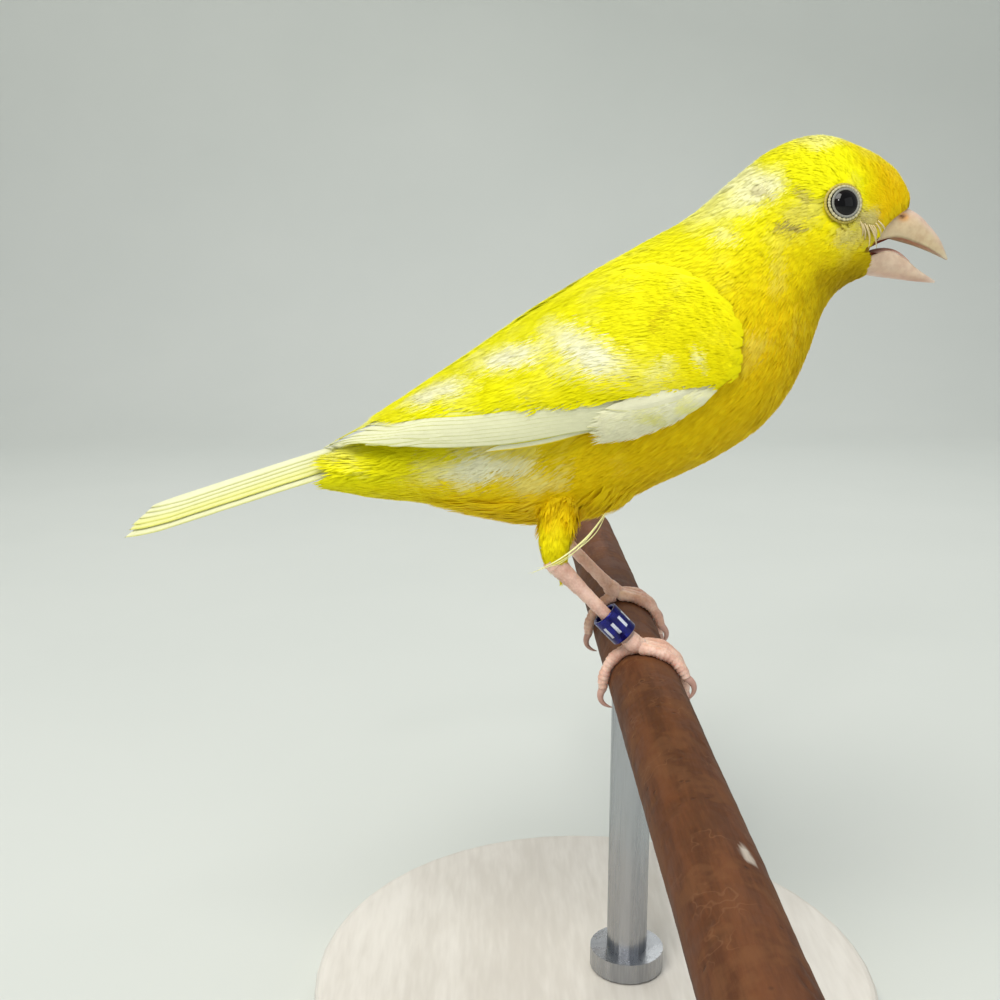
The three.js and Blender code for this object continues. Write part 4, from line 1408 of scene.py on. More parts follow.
def lay_vane(shell: Shell, surface: Surface, spec: VaneSpec, seed: int, thickness: float = 0.14) -> None:
    """Adds a vane: a thin closed leaf round a raised shaft, its inner web tilted under its neighbour.

    Args:
        shell: the shell that takes it.
        surface: what it lies on.
        spec: its path, size and colours.
        seed: number that picks its small splits.
        thickness: of the web at its shaft.
    """
    draw = np.random.default_rng(seed)
    rows, columns = 38, 15
    t = np.linspace(0, 1, rows) ** 0.9
    w = np.linspace(-1, 1, columns)
    w = np.sign(w) * np.abs(w) ** 0.75
    u, v = np.moveaxis(rows_at(np.array(spec.path, float), t * (len(spec.path) - 1)), -1, 0)
    centre = surface.point(u, v)
    along = unit(np.gradient(centre, axis=0))
    slope_u, slope_v = surface.slopes(u, v)
    across = unit(np.cross(unit(np.cross(slope_u, slope_v)), along))
    if np.sum(across * slope_v) * spec.outer_way < 0:
        across = -across
    near_tip = np.clip((t - 1 + spec.point) / spec.point, 0, 1)
    closing = np.maximum(1 - near_tip**spec.tip_power, 0.0)
    opening = smoothstep(t, -0.12, 0.2)
    half = np.where(w > 0, spec.outer, spec.inner)[None, :] * (closing * opening)[:, None]
    wave = np.sin(t[:, None] * draw.uniform(25, 50) + draw.uniform(0, 6)) * np.sin(t[:, None] * 17 + seed)
    nibbled = 1 + (0.03 + 0.1 * near_tip[:, None]) * wave * (np.abs(w) > 0.9)
    offset = (w[None, :] * half * nibbled)[..., None] * across[:, None]
    uu, vv = surface.walk(u[:, None] + 0 * w, v[:, None] + 0 * w, offset)
    settle = (1 - smoothstep(t, 0.0, spec.settled))[:, None]
    camber = 0.12 * (1 - w**2)[None, :] * closing[:, None]
    tilt = spec.tilt * ((1 - w) / 2)[None, :] * (0.35 + 0.65 * closing[:, None])
    rise = spec.rise - spec.root_sink * settle + camber - tilt
    ridge = 0.07 * np.exp(-((w / 0.12) ** 2))[None, :] * (1 - t)[:, None] ** 0.7
    wall = thickness * (0.25 + 0.75 * (1 - np.abs(w))[None, :]) * (0.3 + 0.7 * closing[:, None])
    upper = surface.point(uu, vv, rise + ridge)
    lower = surface.point(uu, vv, rise - wall)
    points = np.concatenate([upper.reshape(-1, 3), lower.reshape(-1, 3)])
    sheet = grid_triangles(rows, columns, False)
    size = rows * columns
    rim = np.concatenate([
        np.arange(columns), columns - 1 + columns * np.arange(1, rows),
        size - 2 - np.arange(columns - 1), columns * np.arange(rows - 2, 0, -1)])
    after = np.roll(rim, -1)
    wall_faces = [np.stack([rim, after, after + size], -1), np.stack([rim, after + size, rim + size], -1)]
    triangles = np.concatenate([sheet[:, ::-1], sheet + size, *wall_faces])
    place_w = np.broadcast_to(w[None, :], (rows, columns))
    place_t = np.broadcast_to(t[:, None], (rows, columns))
    from_edge = (1 - place_w) * np.maximum(half, 1e-3)
    rim_share = smoothstep(from_edge, spec.edge_width * 1.6, spec.edge_width * 0.5) * (place_w > 0)
    colour = mix(spec.web, spec.edge, rim_share)
    colour = mix(colour, spec.web * 0.94, 0.5 * np.exp(-((place_w / 0.12) ** 2)))
    colour = colour * (0.88 + 0.12 * smoothstep(place_t, 0.0, 0.4))[..., None]
    flat = np.concatenate([colour.reshape(-1, 3)] * 2)
    length = float(np.linalg.norm(np.diff(centre, axis=0), axis=-1).sum())
    pattern = np.stack([place_w * half, place_t * length + 0.01], -1).reshape(-1, 2)
    shell.add(points, outward(points, triangles), np.clip(flat, 0, 1), pattern=np.concatenate([pattern] * 2))


@dataclass
class Canary:
    """The bird itself: it holds the shapes that its sub-assemblies share."""

    body: BodyShape = field(default_factory=BodyShape)
    hull: WingHull = field(default_factory=WingHull)
    tail: TailPlane = field(default_factory=TailPlane)
    eye: Eye = field(default_factory=Eye)
    bill: Bill = field(default_factory=Bill)
    markings: Markings = field(default_factory=Markings)


@dataclass
class Skin:
    """One closed skin under the whole coat: trunk, head, thighs and the arms of the wings."""

    canary: Canary
    depth: float = 0.8
    voxel: float = 0.55
    tail_end: float = 15.6
    thigh: tuple = (
        (-10.2, -5.0, 26.0, 2.4),
        (-11.4, -8.8, 21.8, 2.3),
        (-12.2, -12.0, 17.6, 2.05),
        (-11.9, -12.5, 14.9, 1.25),
    )
    # Distance behind the wing's front, lower edge angle, upper edge angle
    arm: tuple = (
        (2.6, 84, 78),
        (4.0, 95, 62),
        (7.6, 102, 46),
        (13.0, 108, 34),
        (19.0, 108, 24),
        (25.0, 104, 16),
        (31.0, 101, 11),
        (37.0, 98, 7),
    )
    arm_depth: float = 1.0

    def thigh_limb(self) -> Limb:
        """The feathered thigh as a limb."""
        return Limb(self.thigh)

    def wing_arm(self) -> Shell:
        """A cushion on the hull between the arm's two edges, which sink, closed by a face inside the trunk.

        Returns:
            The closed cushion.
        """
        steps, sides = 40, 18
        index = np.linspace(0, len(self.arm) - 1, steps)
        x, low, high = np.moveaxis(rows_at(np.array(self.arm, float), index), -1, 0)
        swing = np.linspace(-1, 1, sides)[None, :]
        fade = np.linspace(-1, 1, steps)[:, None]
        angle = low[:, None] + (high - low)[:, None] * (swing + 1) / 2
        drop = 1.8 * np.maximum(np.abs(swing) ** 4, np.abs(fade) ** 6)
        outer = self.canary.hull.point(x[:, None] + 0 * swing, angle, -self.arm_depth - drop)
        inner = self.canary.hull.point(x[:, None] + 0 * swing, angle[:, ::-1], -6.0 + 0 * swing)
        shell = Shell()
        shell.add_rings(np.concatenate([outer, inner], 1))
        return shell

    def build(self, material: Material) -> None:
        """Joins the shells by a voxel remesh, cuts the mouth, and colours the points with the markings.

        Args:
            material: the skin's finish.
        """
        shell = Shell()
        u, v = np.linspace(0.0, self.tail_end, 130), turns(96)
        ahead = BodyCoat(self.canary).ahead(self.canary.body.point(u[:, None], v[None, :], -self.depth))
        shell.add_tube(self.canary.body, u, 96, rise=-self.depth - 1.2 * smoothstep(ahead, -0.6, 0.8))
        thigh = Shell()
        thigh.add_tube(self.thigh_limb(), np.linspace(0, 3, 24), 28, rise=-0.6)
        arm = self.wing_arm()
        for part in (thigh, thigh.mirrored(), arm, arm.mirrored()):
            for points, triangles in zip(part.points, part.triangles):
                shell.add(points, outward(points, triangles))
        piece = shell.build("skin", material)
        remesh = piece.modifiers.new("join", "REMESH")
        remesh.mode = "VOXEL"
        remesh.voxel_size = self.voxel * METRES
        smooth = piece.modifiers.new("relax", "SMOOTH")
        smooth.iterations = 6
        cutter = self.mouth_cutter(material)
        cut = piece.modifiers.new("mouth", "BOOLEAN")
        cut.object, cut.operation, cut.solver = cutter, "DIFFERENCE", "EXACT"
        graph = bpy.context.evaluated_depsgraph_get()
        whole = bpy.data.meshes.new_from_object(piece.evaluated_get(graph))
        piece.modifiers.clear()
        bpy.data.objects.remove(cutter)
        piece.data = whole
        whole.name = "skin"
        whole.polygons.foreach_set("use_smooth", np.ones(len(whole.polygons), bool))
        co = np.empty(len(whole.vertices) * 3, np.float32)
        whole.vertices.foreach_get("co", co)
        points = co.reshape(-1, 3) / METRES - ORIGIN
        for old in list(whole.color_attributes):
            whole.color_attributes.remove(old)
        for old in list(whole.uv_layers):
            whole.uv_layers.remove(old)
        # Painted shade: the skin is darker and more orange than the coat, as the shade between the feathers
        colour = self.canary.markings.colour(points) * np.array([0.94, 0.88, 0.7])
        # Back of the open mouth: dark red, partly the flesh's own colour and partly painted shade inside the
        # mouth
        inside = smoothstep(points[:, 0], 28.4, 29.2) * smoothstep(np.abs(points[:, 1]), 5.2, 4.2)
        band = smoothstep(np.abs(points[:, 2] - 55.9), 1.9, 1.2)
        colour = mix(colour, MOUTH_RED_SHADE, inside * band)
        paint(whole, colour)
        report(piece, ("head", "neck", "torso", "rump", "thigh_right", "thigh_left"))

    def mouth_cutter(self, material: Material) -> bpy.types.Object:
        """A wedge through the face between the two cutting edges.

        Args:
            material: any, because the wedge doesn't stay.

        Returns:
            The wedge, which the skin removes.
        """
        gx, gz = self.canary.bill.gape
        x, z = [gx, 33.0, 38.0, 38.0, 32.2, gx], [gz + 0.2, 57.2, 57.6, 53.8, 55.0, gz - 0.3]
        near = np.column_stack([x, np.full(6, -8.0), z])
        shell = Shell()
        shell.add_rings(np.stack([near, near * MIRROR]))
        return shell.build("cutter", material, smooth=False)


@dataclass(frozen=True)
class Growth:
    """How the small feathers change from face to tail."""

    # Section, length, half width, height over the skin, density
    rows: tuple = (
        (0.0, 1.4, 0.40, 0.42, 1.5),
        (1.0, 1.7, 0.45, 0.58, 1.5),
        (2.5, 2.3, 0.55, 0.70, 1.4),
        (4.0, 3.0, 0.70, 0.75, 1.3),
        (5.5, 3.9, 0.90, 0.80, 1.15),
        (7.0, 4.9, 1.15, 0.85, 1.0),
        (9.0, 6.0, 1.40, 0.87, 0.85),
        (11.0, 6.8, 1.50, 0.90, 0.75),
        (13.0, 6.6, 1.45, 0.95, 0.8),
        (15.0, 6.0, 1.15, 0.95, 0.95),
        (16.4, 5.6, 1.00, 0.90, 1.1),
    )

    def at(self, u: Array) -> tuple:
        """Length, half width, height and density at a section."""
        table = np.array(self.rows)
        return tuple(np.interp(u, table[:, 0], table[:, k]) for k in range(1, table.shape[1]))

    def density(self, u: Array, _v: Array) -> Array:
        """How dense the tufts stand at a section."""
        return self.at(u)[3]


@dataclass
class BodyCoat:
    """Small feathers over head and trunk, in pieces small enough for one mesh each."""

    canary: Canary
    growth: Growth = field(default_factory=Growth)
    depth: float = 0.8
    eye_gap: float = 2.2
    # Name, first and last section, first and last angle in degrees, number of tufts, strands of each
    tracts: tuple = (
        ("coat_face", 0.0, 3.0, 0, 360, 2600, 5),
        ("coat_head", 2.9, 5.3, 0, 360, 2300, 6),
        ("coat_neck", 5.2, 7.5, 0, 360, 1950, 6),
        ("coat_mantle", 7.4, 11.5, -80, 80, 1450, 8),
        ("coat_breast", 7.4, 9.6, 80, 280, 1500, 7),
        ("coat_belly", 9.5, 12.2, 78, 282, 1450, 7),
        ("coat_rump", 11.4, 14.7, -90, 90, 850, 8),
        ("coat_vent", 12.1, 15.1, 88, 272, 1050, 8),
    )
    # Edge of the feathering round the bill in the side view: z from chin to forehead, and x at each
    face_z: tuple = (50.5, 51.5, 52.5, 53.5, 54.9, 55.5, 56.2, 57.0, 58.4, 59.8, 60.9, 61.4, 62.0)
    face_x: tuple = (32.0, 31.5, 31.0, 30.3, 29.4, 28.9, 29.2, 30.2, 30.7, 32.3, 34.1, 36.2, 40.0)

    def ahead(self, points: Array) -> Array:
        """How far a place lies in front of the feathering's edge."""
        return points[..., 0] - np.interp(points[..., 2], self.face_z, self.face_x)

    def covered(self, points: Array, angle: Array) -> Array:
        """Whether a place lies well under a folded wing.

        Args:
            points: places on the trunk.
            angle: of each from the back, in radians.

        Returns:
            True where nothing shows.
        """
        edge_x = np.array([-46.0, -37.0, -27.0, -19.0, -12.0, -5.0, 0.0, 5.5, 9.0, 10.3])
        edge_z = np.array([27.0, 29.8, 30.5, 30.5, 31.9, 32.2, 33.2, 36.9, 39.0, 40.8])
        low = np.interp(points[:, 0], edge_x, edge_z)
        turn = np.abs((np.degrees(angle) + 180) % 360 - 180)
        inner = np.interp(points[:, 0], [-46, -30, -10, 2, 9], [40, 26, 30, 42, 60])
        return (points[:, 0] < 8.6) & (points[:, 0] > -35.0) & (points[:, 2] > low + 1.6) & (turn > inner)

    def in_mouth(self, points: Array) -> Array:
        """Whether a place lies in the open corner of the mouth, between two lines that part forwards.

        Args:
            points: places on the face.

        Returns:
            True inside the corner.
        """
        gx, gz = self.canary.bill.gape
        x, z = points[:, 0] - gx, points[:, 2] - gz
        reach = np.clip(x, 0, None)
        return (x > -0.4) & (z < 0.35 + 0.42 * reach) & (z > -0.55 - 0.2 * reach)

    def fringe(self, maker: CoatMaker) -> Shell:
        """Loose feathers of the lower belly that hang over the right thigh and behind it.

        Args:
            maker: lays them on the trunk.

        Returns:
            The right side's shell.
        """
        draw = np.random.default_rng(61)
        count = 230
        u = draw.uniform(11.1, 12.9, count)
        v = np.radians(draw.uniform(118, 176, count))
        plan = TuftPlan(u, v, draw.uniform(5.0, 7.6, count), draw.uniform(0.6, 1.0, count),
                        draw.uniform(0.9, 1.9, count), draw.uniform(0.1, 0.7, count), strands=8, fine=0.3)
        shell = Shell()
        maker.grow(shell, plan, seed=62)
        return shell

    def build(self, material: Material) -> None:
        """Makes each tract's piece.

        Args:
            material: the coat's finish.
        """
        body = self.canary.body
        middle, _, _, _ = self.canary.eye.axes(body)
        maker = CoatMaker(body, self.canary.markings, lay=0.5, depth=self.depth,
                          unwrap=(1 / 16.5, 1 / (2 * math.pi)))
        for number, (name, start, end, first, last, count, strands) in enumerate(self.tracts):
            u, v = maker.spread((start, end), (math.radians(first), math.radians(last)), count,
                                weight=self.growth.density, seed=number + 1)
            draw = np.random.default_rng(number + 70)
            points = body.point(u, v, -self.depth)
            length, width, rise, _ = self.growth.at(u)
            low = smoothstep(-np.cos(v), -0.2, 0.8)
            length = length * (1 + 0.12 * low) * draw.uniform(0.88, 1.12, len(u))
            back = smoothstep(np.cos(v), 0.0, 0.7)
            rise = (rise + body.seat_depth(u) * back) * draw.uniform(0.85, 1.08, len(u))
            turn = draw.normal(0, 0.1, len(u))
            for side in (1, -1):
                eye = middle if side > 0 else middle * MIRROR
                apart = np.linalg.norm(points - eye, axis=1)
                ahead = smoothstep(points[:, 0] - eye[0], -1.0, 0.8)
                length = np.minimum(length, np.where(ahead > 0.5, np.maximum(apart - 1.6, 0.9), 9.0))
                eye_angle = math.radians(self.canary.eye.angle) * side + math.pi * (1 - side)
                aside = np.tanh((v - eye_angle) / 0.12)
                turn = turn + 1.1 * aside * ahead * smoothstep(apart, 5.2, 2.4)
            apart = np.minimum(np.linalg.norm(points - middle, axis=1),
                               np.linalg.norm(points - middle * MIRROR, axis=1))
            rise = np.where(apart < 3.4, rise * 0.75, rise)
            loose = smoothstep(points[:, 2], 25.0, 21.5) * smoothstep(np.abs(points[:, 0] + 13), 12.0, 5.0)
            rise = rise + 1.3 * loose * draw.uniform(0, 1, len(u)) ** 2
            length = length * (1 + 0.3 * loose)
            plan = TuftPlan(u, v, length, width, rise, turn, strands=strands,
                            fine=float(np.clip(0.055 * length.mean() + 0.08, 0.16, 0.38)))
            hidden = self.covered(points, v) | self.in_mouth(points)
            chosen = ~hidden & (apart > self.eye_gap) & (self.ahead(points) < 0)
            shell = Shell()
            maker.grow(shell, plan.keep(chosen), seed=number + 30)
            report(shell.build(name, material))
        report_pair(self.fringe(maker), "coat_fringe", material)


@dataclass
class ThighCoat:
    """Short feathers of the thighs, and the few stray ones that hang by them."""

    canary: Canary
    limb: Limb
    count: int = 540
    skirt: int = 110

    def tone(self, places: Array) -> Array:
        """The belly's colour, with its painted golden shade, at the top of the thigh, and a brighter yellow
        with less painted shade below it.
        """
        bright = Markings(painted_shade_below=0.35).colour(places)
        return mix(bright, self.canary.markings.colour(places), smoothstep(places[:, 2], 18.5, 22.5))

    def build(self, material: Material) -> None:
        """Makes one piece for each side.

        Args:
            material: the coat's finish.
        """
        nodes = np.array(self.limb.nodes)
        beyond = nodes[-1] + (nodes[-1] - nodes[-2]) * np.array([1, 1, 1, 0.6])
        limb = Limb((*self.limb.nodes, tuple(beyond)))
        maker = CoatMaker(limb, self.canary.markings, lay=0.4, depth=0.6, unwrap=(0.2, 1 / (2 * math.pi)))
        for number, side in enumerate(Side):
            u, v = maker.spread((0.5, 2.5), (0, 2 * math.pi), self.count, seed=number + 3)
            draw = np.random.default_rng(number + 5)
            length = 3.9 * draw.uniform(0.75, 1.25, len(u)) * np.interp(u, [0.5, 1.8, 2.5], [1.25, 1.0, 0.42])
            plan = TuftPlan(u, v, length, np.full(len(u), 0.55), draw.uniform(0.4, 0.85, len(u)),
                            draw.normal(0, 0.12, len(u)), strands=7, fine=0.2)
            shell = Shell()
            maker.grow(shell, plan, seed=number + 90, tone=self.tone)
            size = self.skirt
            skirt = TuftPlan(draw.uniform(0.2, 1.0, size), draw.uniform(0, 2 * math.pi, size),
                             draw.uniform(3.8, 5.6, size), np.full(size, 0.9), draw.uniform(0.8, 1.8, size),
                             draw.normal(0, 0.25, size), strands=9, fine=0.26)
            maker.grow(shell, skirt, seed=number + 95)
            if side is Side.LEFT:
                shell = shell.mirrored()
            report(shell.build(f"coat_thigh_{side.value}", material))


@dataclass
class Wing:
    """A folded wing: its coverts as tufts, and its flight feathers as vanes in tiers."""

    canary: Canary
    side: Side
    coat_depth: float = 1.0
    patch_count: int = 320
    # Side view x and z: lower edge of the pale band, its upper edge, and the top of the yellow band above it
    band_low: tuple = ((8.0, 36.2), (-4.0, 34.0), (-8.8, 33.6), (-14.0, 32.6), (-19.4, 31.6), (-24.6, 31.0),
                       (-29.4, 30.9), (-37.7, 30.0), (-43.4, 29.2))
    band_high: tuple = ((8.0, 38.0), (-2.0, 37.3), (-10.7, 37.0), (-16.0, 36.5), (-22.2, 35.3), (-29.3, 34.4),
                        (-34.4, 33.0), (-38.0, 32.0), (-43.4, 30.1))
    band_top: tuple = ((8.0, 39.5), (-7.1, 38.2), (-21.9, 37.2), (-31.1, 35.4), (-37.7, 32.8), (-43.4, 30.4))
    pale_tips: tuple = (-37.0, -40.5, -42.8, -43.6, -42.8, -41.4, -39.6, -38.2)
    short_vanes: tuple = (
        ((-3.0, 34.0), (-8.8, 33.5), (-12.6, 32.5), (-16.5, 31.5), (-21.3, 30.5)),
        ((-3.0, 34.4), (-9.5, 33.9), (-14.5, 32.8), (-19.0, 31.9), (-23.8, 31.2)),
    )
    tertials: tuple = (
        ((-12.0, 39.6), (-18.0, 39.0), (-25.0, 37.9), (-32.0, 36.0), (-38.0, 33.4)),
        ((-12.0, 42.2), (-17.0, 41.4), (-24.0, 39.8), (-31.0, 37.4), (-36.5, 34.9)),
        ((-12.0, 45.0), (-16.0, 43.8), (-22.0, 41.8), (-29.0, 38.8), (-34.5, 36.2)),
        ((-22.0, 40.4), (-28.0, 38.0), (-34.0, 35.2), (-38.5, 32.9), (-42.0, 31.2)),
    )
    alula: tuple = (
        ((7.0, 38.6), (4.0, 36.6), (0.5, 34.4), (-3.0, 33.3), (-5.4, 33.0), (-8.4, 33.3)),
        ((7.3, 38.8), (4.0, 37.1), (0.0, 35.2), (-3.5, 34.2), (-8.8, 34.1)),
        ((7.6, 39.1), (4.0, 37.7), (0.0, 36.2), (-4.0, 35.3), (-8.0, 35.2)),
        ((8.0, 39.6), (4.0, 38.4), (0.0, 37.2), (-3.5, 36.5), (-6.5, 36.4)),
    )
    # Name, stretch behind the wing's front, stretch of angles, number, then length, half width and height
    tiers: tuple = (
        ("lesser_coverts", (3.0, 17.0), (40, 102), 900, (4.4, 1.2, 1.05)),
        ("greater_coverts", (12.0, 34.0), (20, 90), 700, (6.2, 1.5, 1.25)),
        ("scapulars", (12.0, 50.0), (2, 62), 1000, (7.2, 1.6, 1.3)),
    )
    # Roots of the pale patch: distance behind the front, height of its middle line and half its height
    patch_line: tuple = ((6.4, 38.7, 0.2), (8.0, 38.0, 0.7), (11.0, 36.6, 1.3), (14.5, 35.4, 1.6),
                         (17.6, 34.8, 1.5))

    def path(self, outline: list, lift: float = 0.0) -> tuple:
        """Turns places in the side view, x and z, into distance behind the front and angle on the hull.

        Args:
            outline: rows of x and z.
            lift: added to each z.

        Returns:
            Rows of u and v.
        """
        hull = self.canary.hull
        x, z = np.moveaxis(np.array(outline, float), -1, 0)
        return tuple(zip(hull.front - x, hull.angle_at(hull.front - x, z + lift)))

    def flight(self) -> list[VaneSpec]:
        """Vanes in order: primaries and secondaries in the pale band, the yellow band, tertials, alula.

        Returns:
            The specs; each vane's outer web shows below its upper neighbour.
        """
        specs = []
        low, high, top = (np.array(edge) for edge in (self.band_low, self.band_high, self.band_top))
        tips = self.pale_tips
        for i, tip in enumerate(tips):
            f = i / len(tips)
            x = np.linspace(2.0 - 0.9 * i, tip, 8)
            low_z, high_z = np.interp(x, *low[::-1].T), np.interp(x, *high[::-1].T)
            z = low_z + (high_z - low_z) * f + 0.42
            specs.append(VaneSpec(self.path(np.stack([x, z], -1)), 0.5, 1.7, rise=-0.42 + 0.03 * i,
                                  tilt=0.2, edge=mix(VEIN, CREAM, np.array(0.3)), edge_width=0.11, point=0.3,
                                  tip_power=2.4, root_sink=0.5, settled=0.2))
        for i, outline in enumerate(self.short_vanes):
            edge = mix(LEMON, GOLDEN, np.array(0.7 - 0.5 * i))
            specs.append(VaneSpec(self.path(outline), 0.5, 1.5, rise=-0.62 + 0.05 * i, tilt=0.2, edge=edge,
                                  edge_width=0.15, point=0.5))
        for i in range(3):
            x = np.linspace(-6.0 - i, -37.5 + 1.2 * i, 8)
            low_z, high_z = np.interp(x, *high[::-1].T), np.interp(x, *top[::-1].T)
            z = low_z + (high_z - low_z) * i / 3 + 0.5
            specs.append(VaneSpec(self.path(np.stack([x, z], -1)), 0.55, 1.6, rise=-0.15 + 0.04 * i,
                                  web=mix(LEMON, CREAM, np.array(0.35)), edge_width=0.2, tilt=0.3,
                                  root_sink=0.6, settled=0.2))
        for i, outline in enumerate(self.tertials):
            specs.append(VaneSpec(self.path(outline), 1.3, 2.4, rise=-0.28 + 0.06 * i, tilt=0.2,
                                  root_sink=0.7, web=mix(LEMON, CREAM, np.array(0.2)), edge=PALE,
                                  edge_width=0.3, point=0.4))
        for i, outline in enumerate(self.alula):
            specs.append(VaneSpec(self.path(outline), 0.7, 1.6, rise=-0.3 + 0.05 * i, root_sink=0.7,
                                  tilt=0.2, web=WHITE, edge=mix(WHITE, LEMON, np.array(0.3)),
                                  edge_width=0.12, point=0.5))
        return specs

    def build(self, vane_material: Material, coat_material: Material) -> None:
        """Makes the coverts' pieces and the vanes' piece.

        Args:
            vane_material, coat_material: finishes of the vanes and of the small feathers.
        """
        hull = self.canary.hull
        vanes = Shell()
        for number, spec in enumerate(self.flight()):
            lay_vane(vanes, hull, spec, seed=number + (40 if self.side is Side.LEFT else 0))
        # The coverts take less of the painted golden shade
        maker = CoatMaker(hull, Markings(painted_shade_below=0.25), lay=0.35, depth=self.coat_depth,
                          unwrap=(1 / 62, 1 / 130))
        name = self.side.value
        seed = 11 if self.side is Side.RIGHT else 23
        for number, (label, u_range, v_range, count, size) in enumerate(self.tiers):
            coat = Shell()
            self.coverts(coat, maker, u_range, v_range, count, size, seed + number)
            if number == 0:
                self.patch(coat, maker, seed + 5)
            coat = coat if self.side is Side.RIGHT else coat.mirrored()
            report(coat.build(f"{label}_{name}", coat_material))
        vanes = vanes if self.side is Side.RIGHT else vanes.mirrored()
        report(vanes.build(f"flight_feathers_{name}", vane_material), (f"wing_{name}",))

    def coverts(self, shell: Shell, maker: CoatMaker, u_range: tuple, v_range: tuple, count: int, size: tuple,
                seed: int) -> None:
        """Adds one tier of coverts.

        Args:
            shell: the shell that takes them.
            maker: lays them on the hull.
            u_range, v_range: where they grow.
            count: how many.
            size: length, half width and height over the wing's skin.
            seed: picks their variation.
        """
        u, v = maker.spread(u_range, v_range, count, seed=seed)
        x = self.canary.hull.front - u
        low = self.canary.hull.angle_at(u, np.interp(x, *np.array(self.band_top)[::-1].T) + 0.4)
        low = np.minimum(low, np.interp(u, [2, 4, 8, 13], [80, 95, 101, 120]))
        high = np.interp(u, [2, 4, 8, 13, 19, 25, 46, 50], [80, 62, 46, 30, 20, 10, 2, 10])
        inside = (v < low) & (v > high)
        u, v = u[inside], v[inside]
        draw = np.random.default_rng(seed)
        length = size[0] * draw.uniform(0.85, 1.15, len(u))
        length = length * np.interp(u, [2, 10, 42, 50], [0.55, 1.0, 1.0, 0.6])
        rise = size[2] * draw.uniform(0.92, 1.04, len(u)) * np.interp(u, [2, 6], [0.8, 1.0])
        plan = TuftPlan(u, v, length, np.full(len(u), size[1]), rise, draw.normal(0.0, 0.06, len(u)),
                        strands=9, fine=0.3, base=-0.1)
        maker.grow(shell, plan, seed=seed)

    def patch(self, shell: Shell, maker: CoatMaker, seed: int) -> None:
        """Adds the pale patch of small feathers over the alula and the roots of the primaries.

        Args:
            shell: the shell that takes them.
            maker: lays them on the hull.
            seed: picks their variation.
        """
        draw = np.random.default_rng(seed)
        line = np.array(self.patch_line)
        count = self.patch_count
        u = draw.uniform(line[0, 0], line[-1, 0], count)
        middle, half = (np.interp(u, line[:, 0], line[:, k]) for k in (1, 2))
        v = self.canary.hull.angle_at(u, middle + half * draw.uniform(-1, 1, count))
        slope = np.interp(u, [6, 11, 18], [0.42, 0.3, 0.05]) + draw.normal(0, 0.04, count)
        plan = TuftPlan(u, v, draw.uniform(3.6, 5.4, count), np.full(count, 0.85),
                        draw.uniform(0.85, 1.0, count), slope, strands=7, fine=0.2, base=0.1)
        maker.grow(shell, plan, seed=seed, tone=self.patch_tone)

    def patch_tone(self, root: Array) -> Array:
        """Colour of the pale patch: white, with two faint yellow blotches.

        Args:
            root: places of the patch's feathers.

        Returns:
            A linear colour for each.
        """
        first = np.hypot((root[:, 0] - 0.0) / 2.2, (root[:, 2] - 36.0) / 0.8)
        second = np.hypot((root[:, 0] - 4.2) / 1.6, (root[:, 2] - 37.6) / 0.7)
        return mix(WHITE, LEMON, 0.45 * smoothstep(np.minimum(first, second), 1.3, 0.4))


@dataclass
class Tail:
    """Twelve tail feathers, fanned a little and forked, with the middle pair on top."""

    canary: Canary
    pairs: int = 6
    inner_length: float = 24.0
    fork: float = 0.8
    root_spread: float = 0.68
    tip_spread: float = 0.6
    layer: float = 0.1
    gap: float = 0.22
    root_start: float = -7.0

    def build(self, material: Material) -> None:
        """Lays the vanes on the tail's roof, outermost pair lowest.

        Args:
            material: the vanes' finish.
        """
        shell = Shell()
        draw = np.random.default_rng(8)
        for pair in range(self.pairs - 1, -1, -1):
            web, edge = self.tones(pair)
            for side in (-1, 1):
                half = Shell()
                length = self.inner_length + self.fork * pair + draw.uniform(-0.3, 0.3)
                spread = self.tip_spread - self.root_spread
                path = tuple((self.root_start + (length - self.root_start) * t,
                              -0.25 - self.root_spread * pair - (0.6 + spread * pair) * t)
                             for t in (0, 0.33, 0.67, 1))
                rise = 0.35 - self.layer * pair - self.gap * (pair == self.pairs - 1) + 0.1 * (side < 0)
                spec = VaneSpec(path, 1.0, 2.2, rise=rise, root_sink=0.1, tilt=0.1, point=0.2, tip_power=1.5,
                                web=web, edge=edge, edge_width=0.2, outer_way=-1)
                lay_vane(half, self.canary.tail, spec, seed=pair * 2 + (side > 0))
                half = half.mirrored() if side > 0 else half
                shell.add(half.points[0], half.triangles[0], half.colours[0], pattern=half.patterns[0])
        report(shell.build("tail_feathers", material), ("tail",))

    def tones(self, pair: int) -> tuple[Array, Array]:
        """Colours of a pair's web and edge: white in the middle, yellower outwards, cream outermost."""
        yellow = np.array((0.0, 0.04, 0.1, 0.32, 0.36, 0.04)[pair])
        return mix(CREAM, LEMON, yellow), mix(mix(VEIN, CREAM, np.array(0.45)), LEMON, yellow)


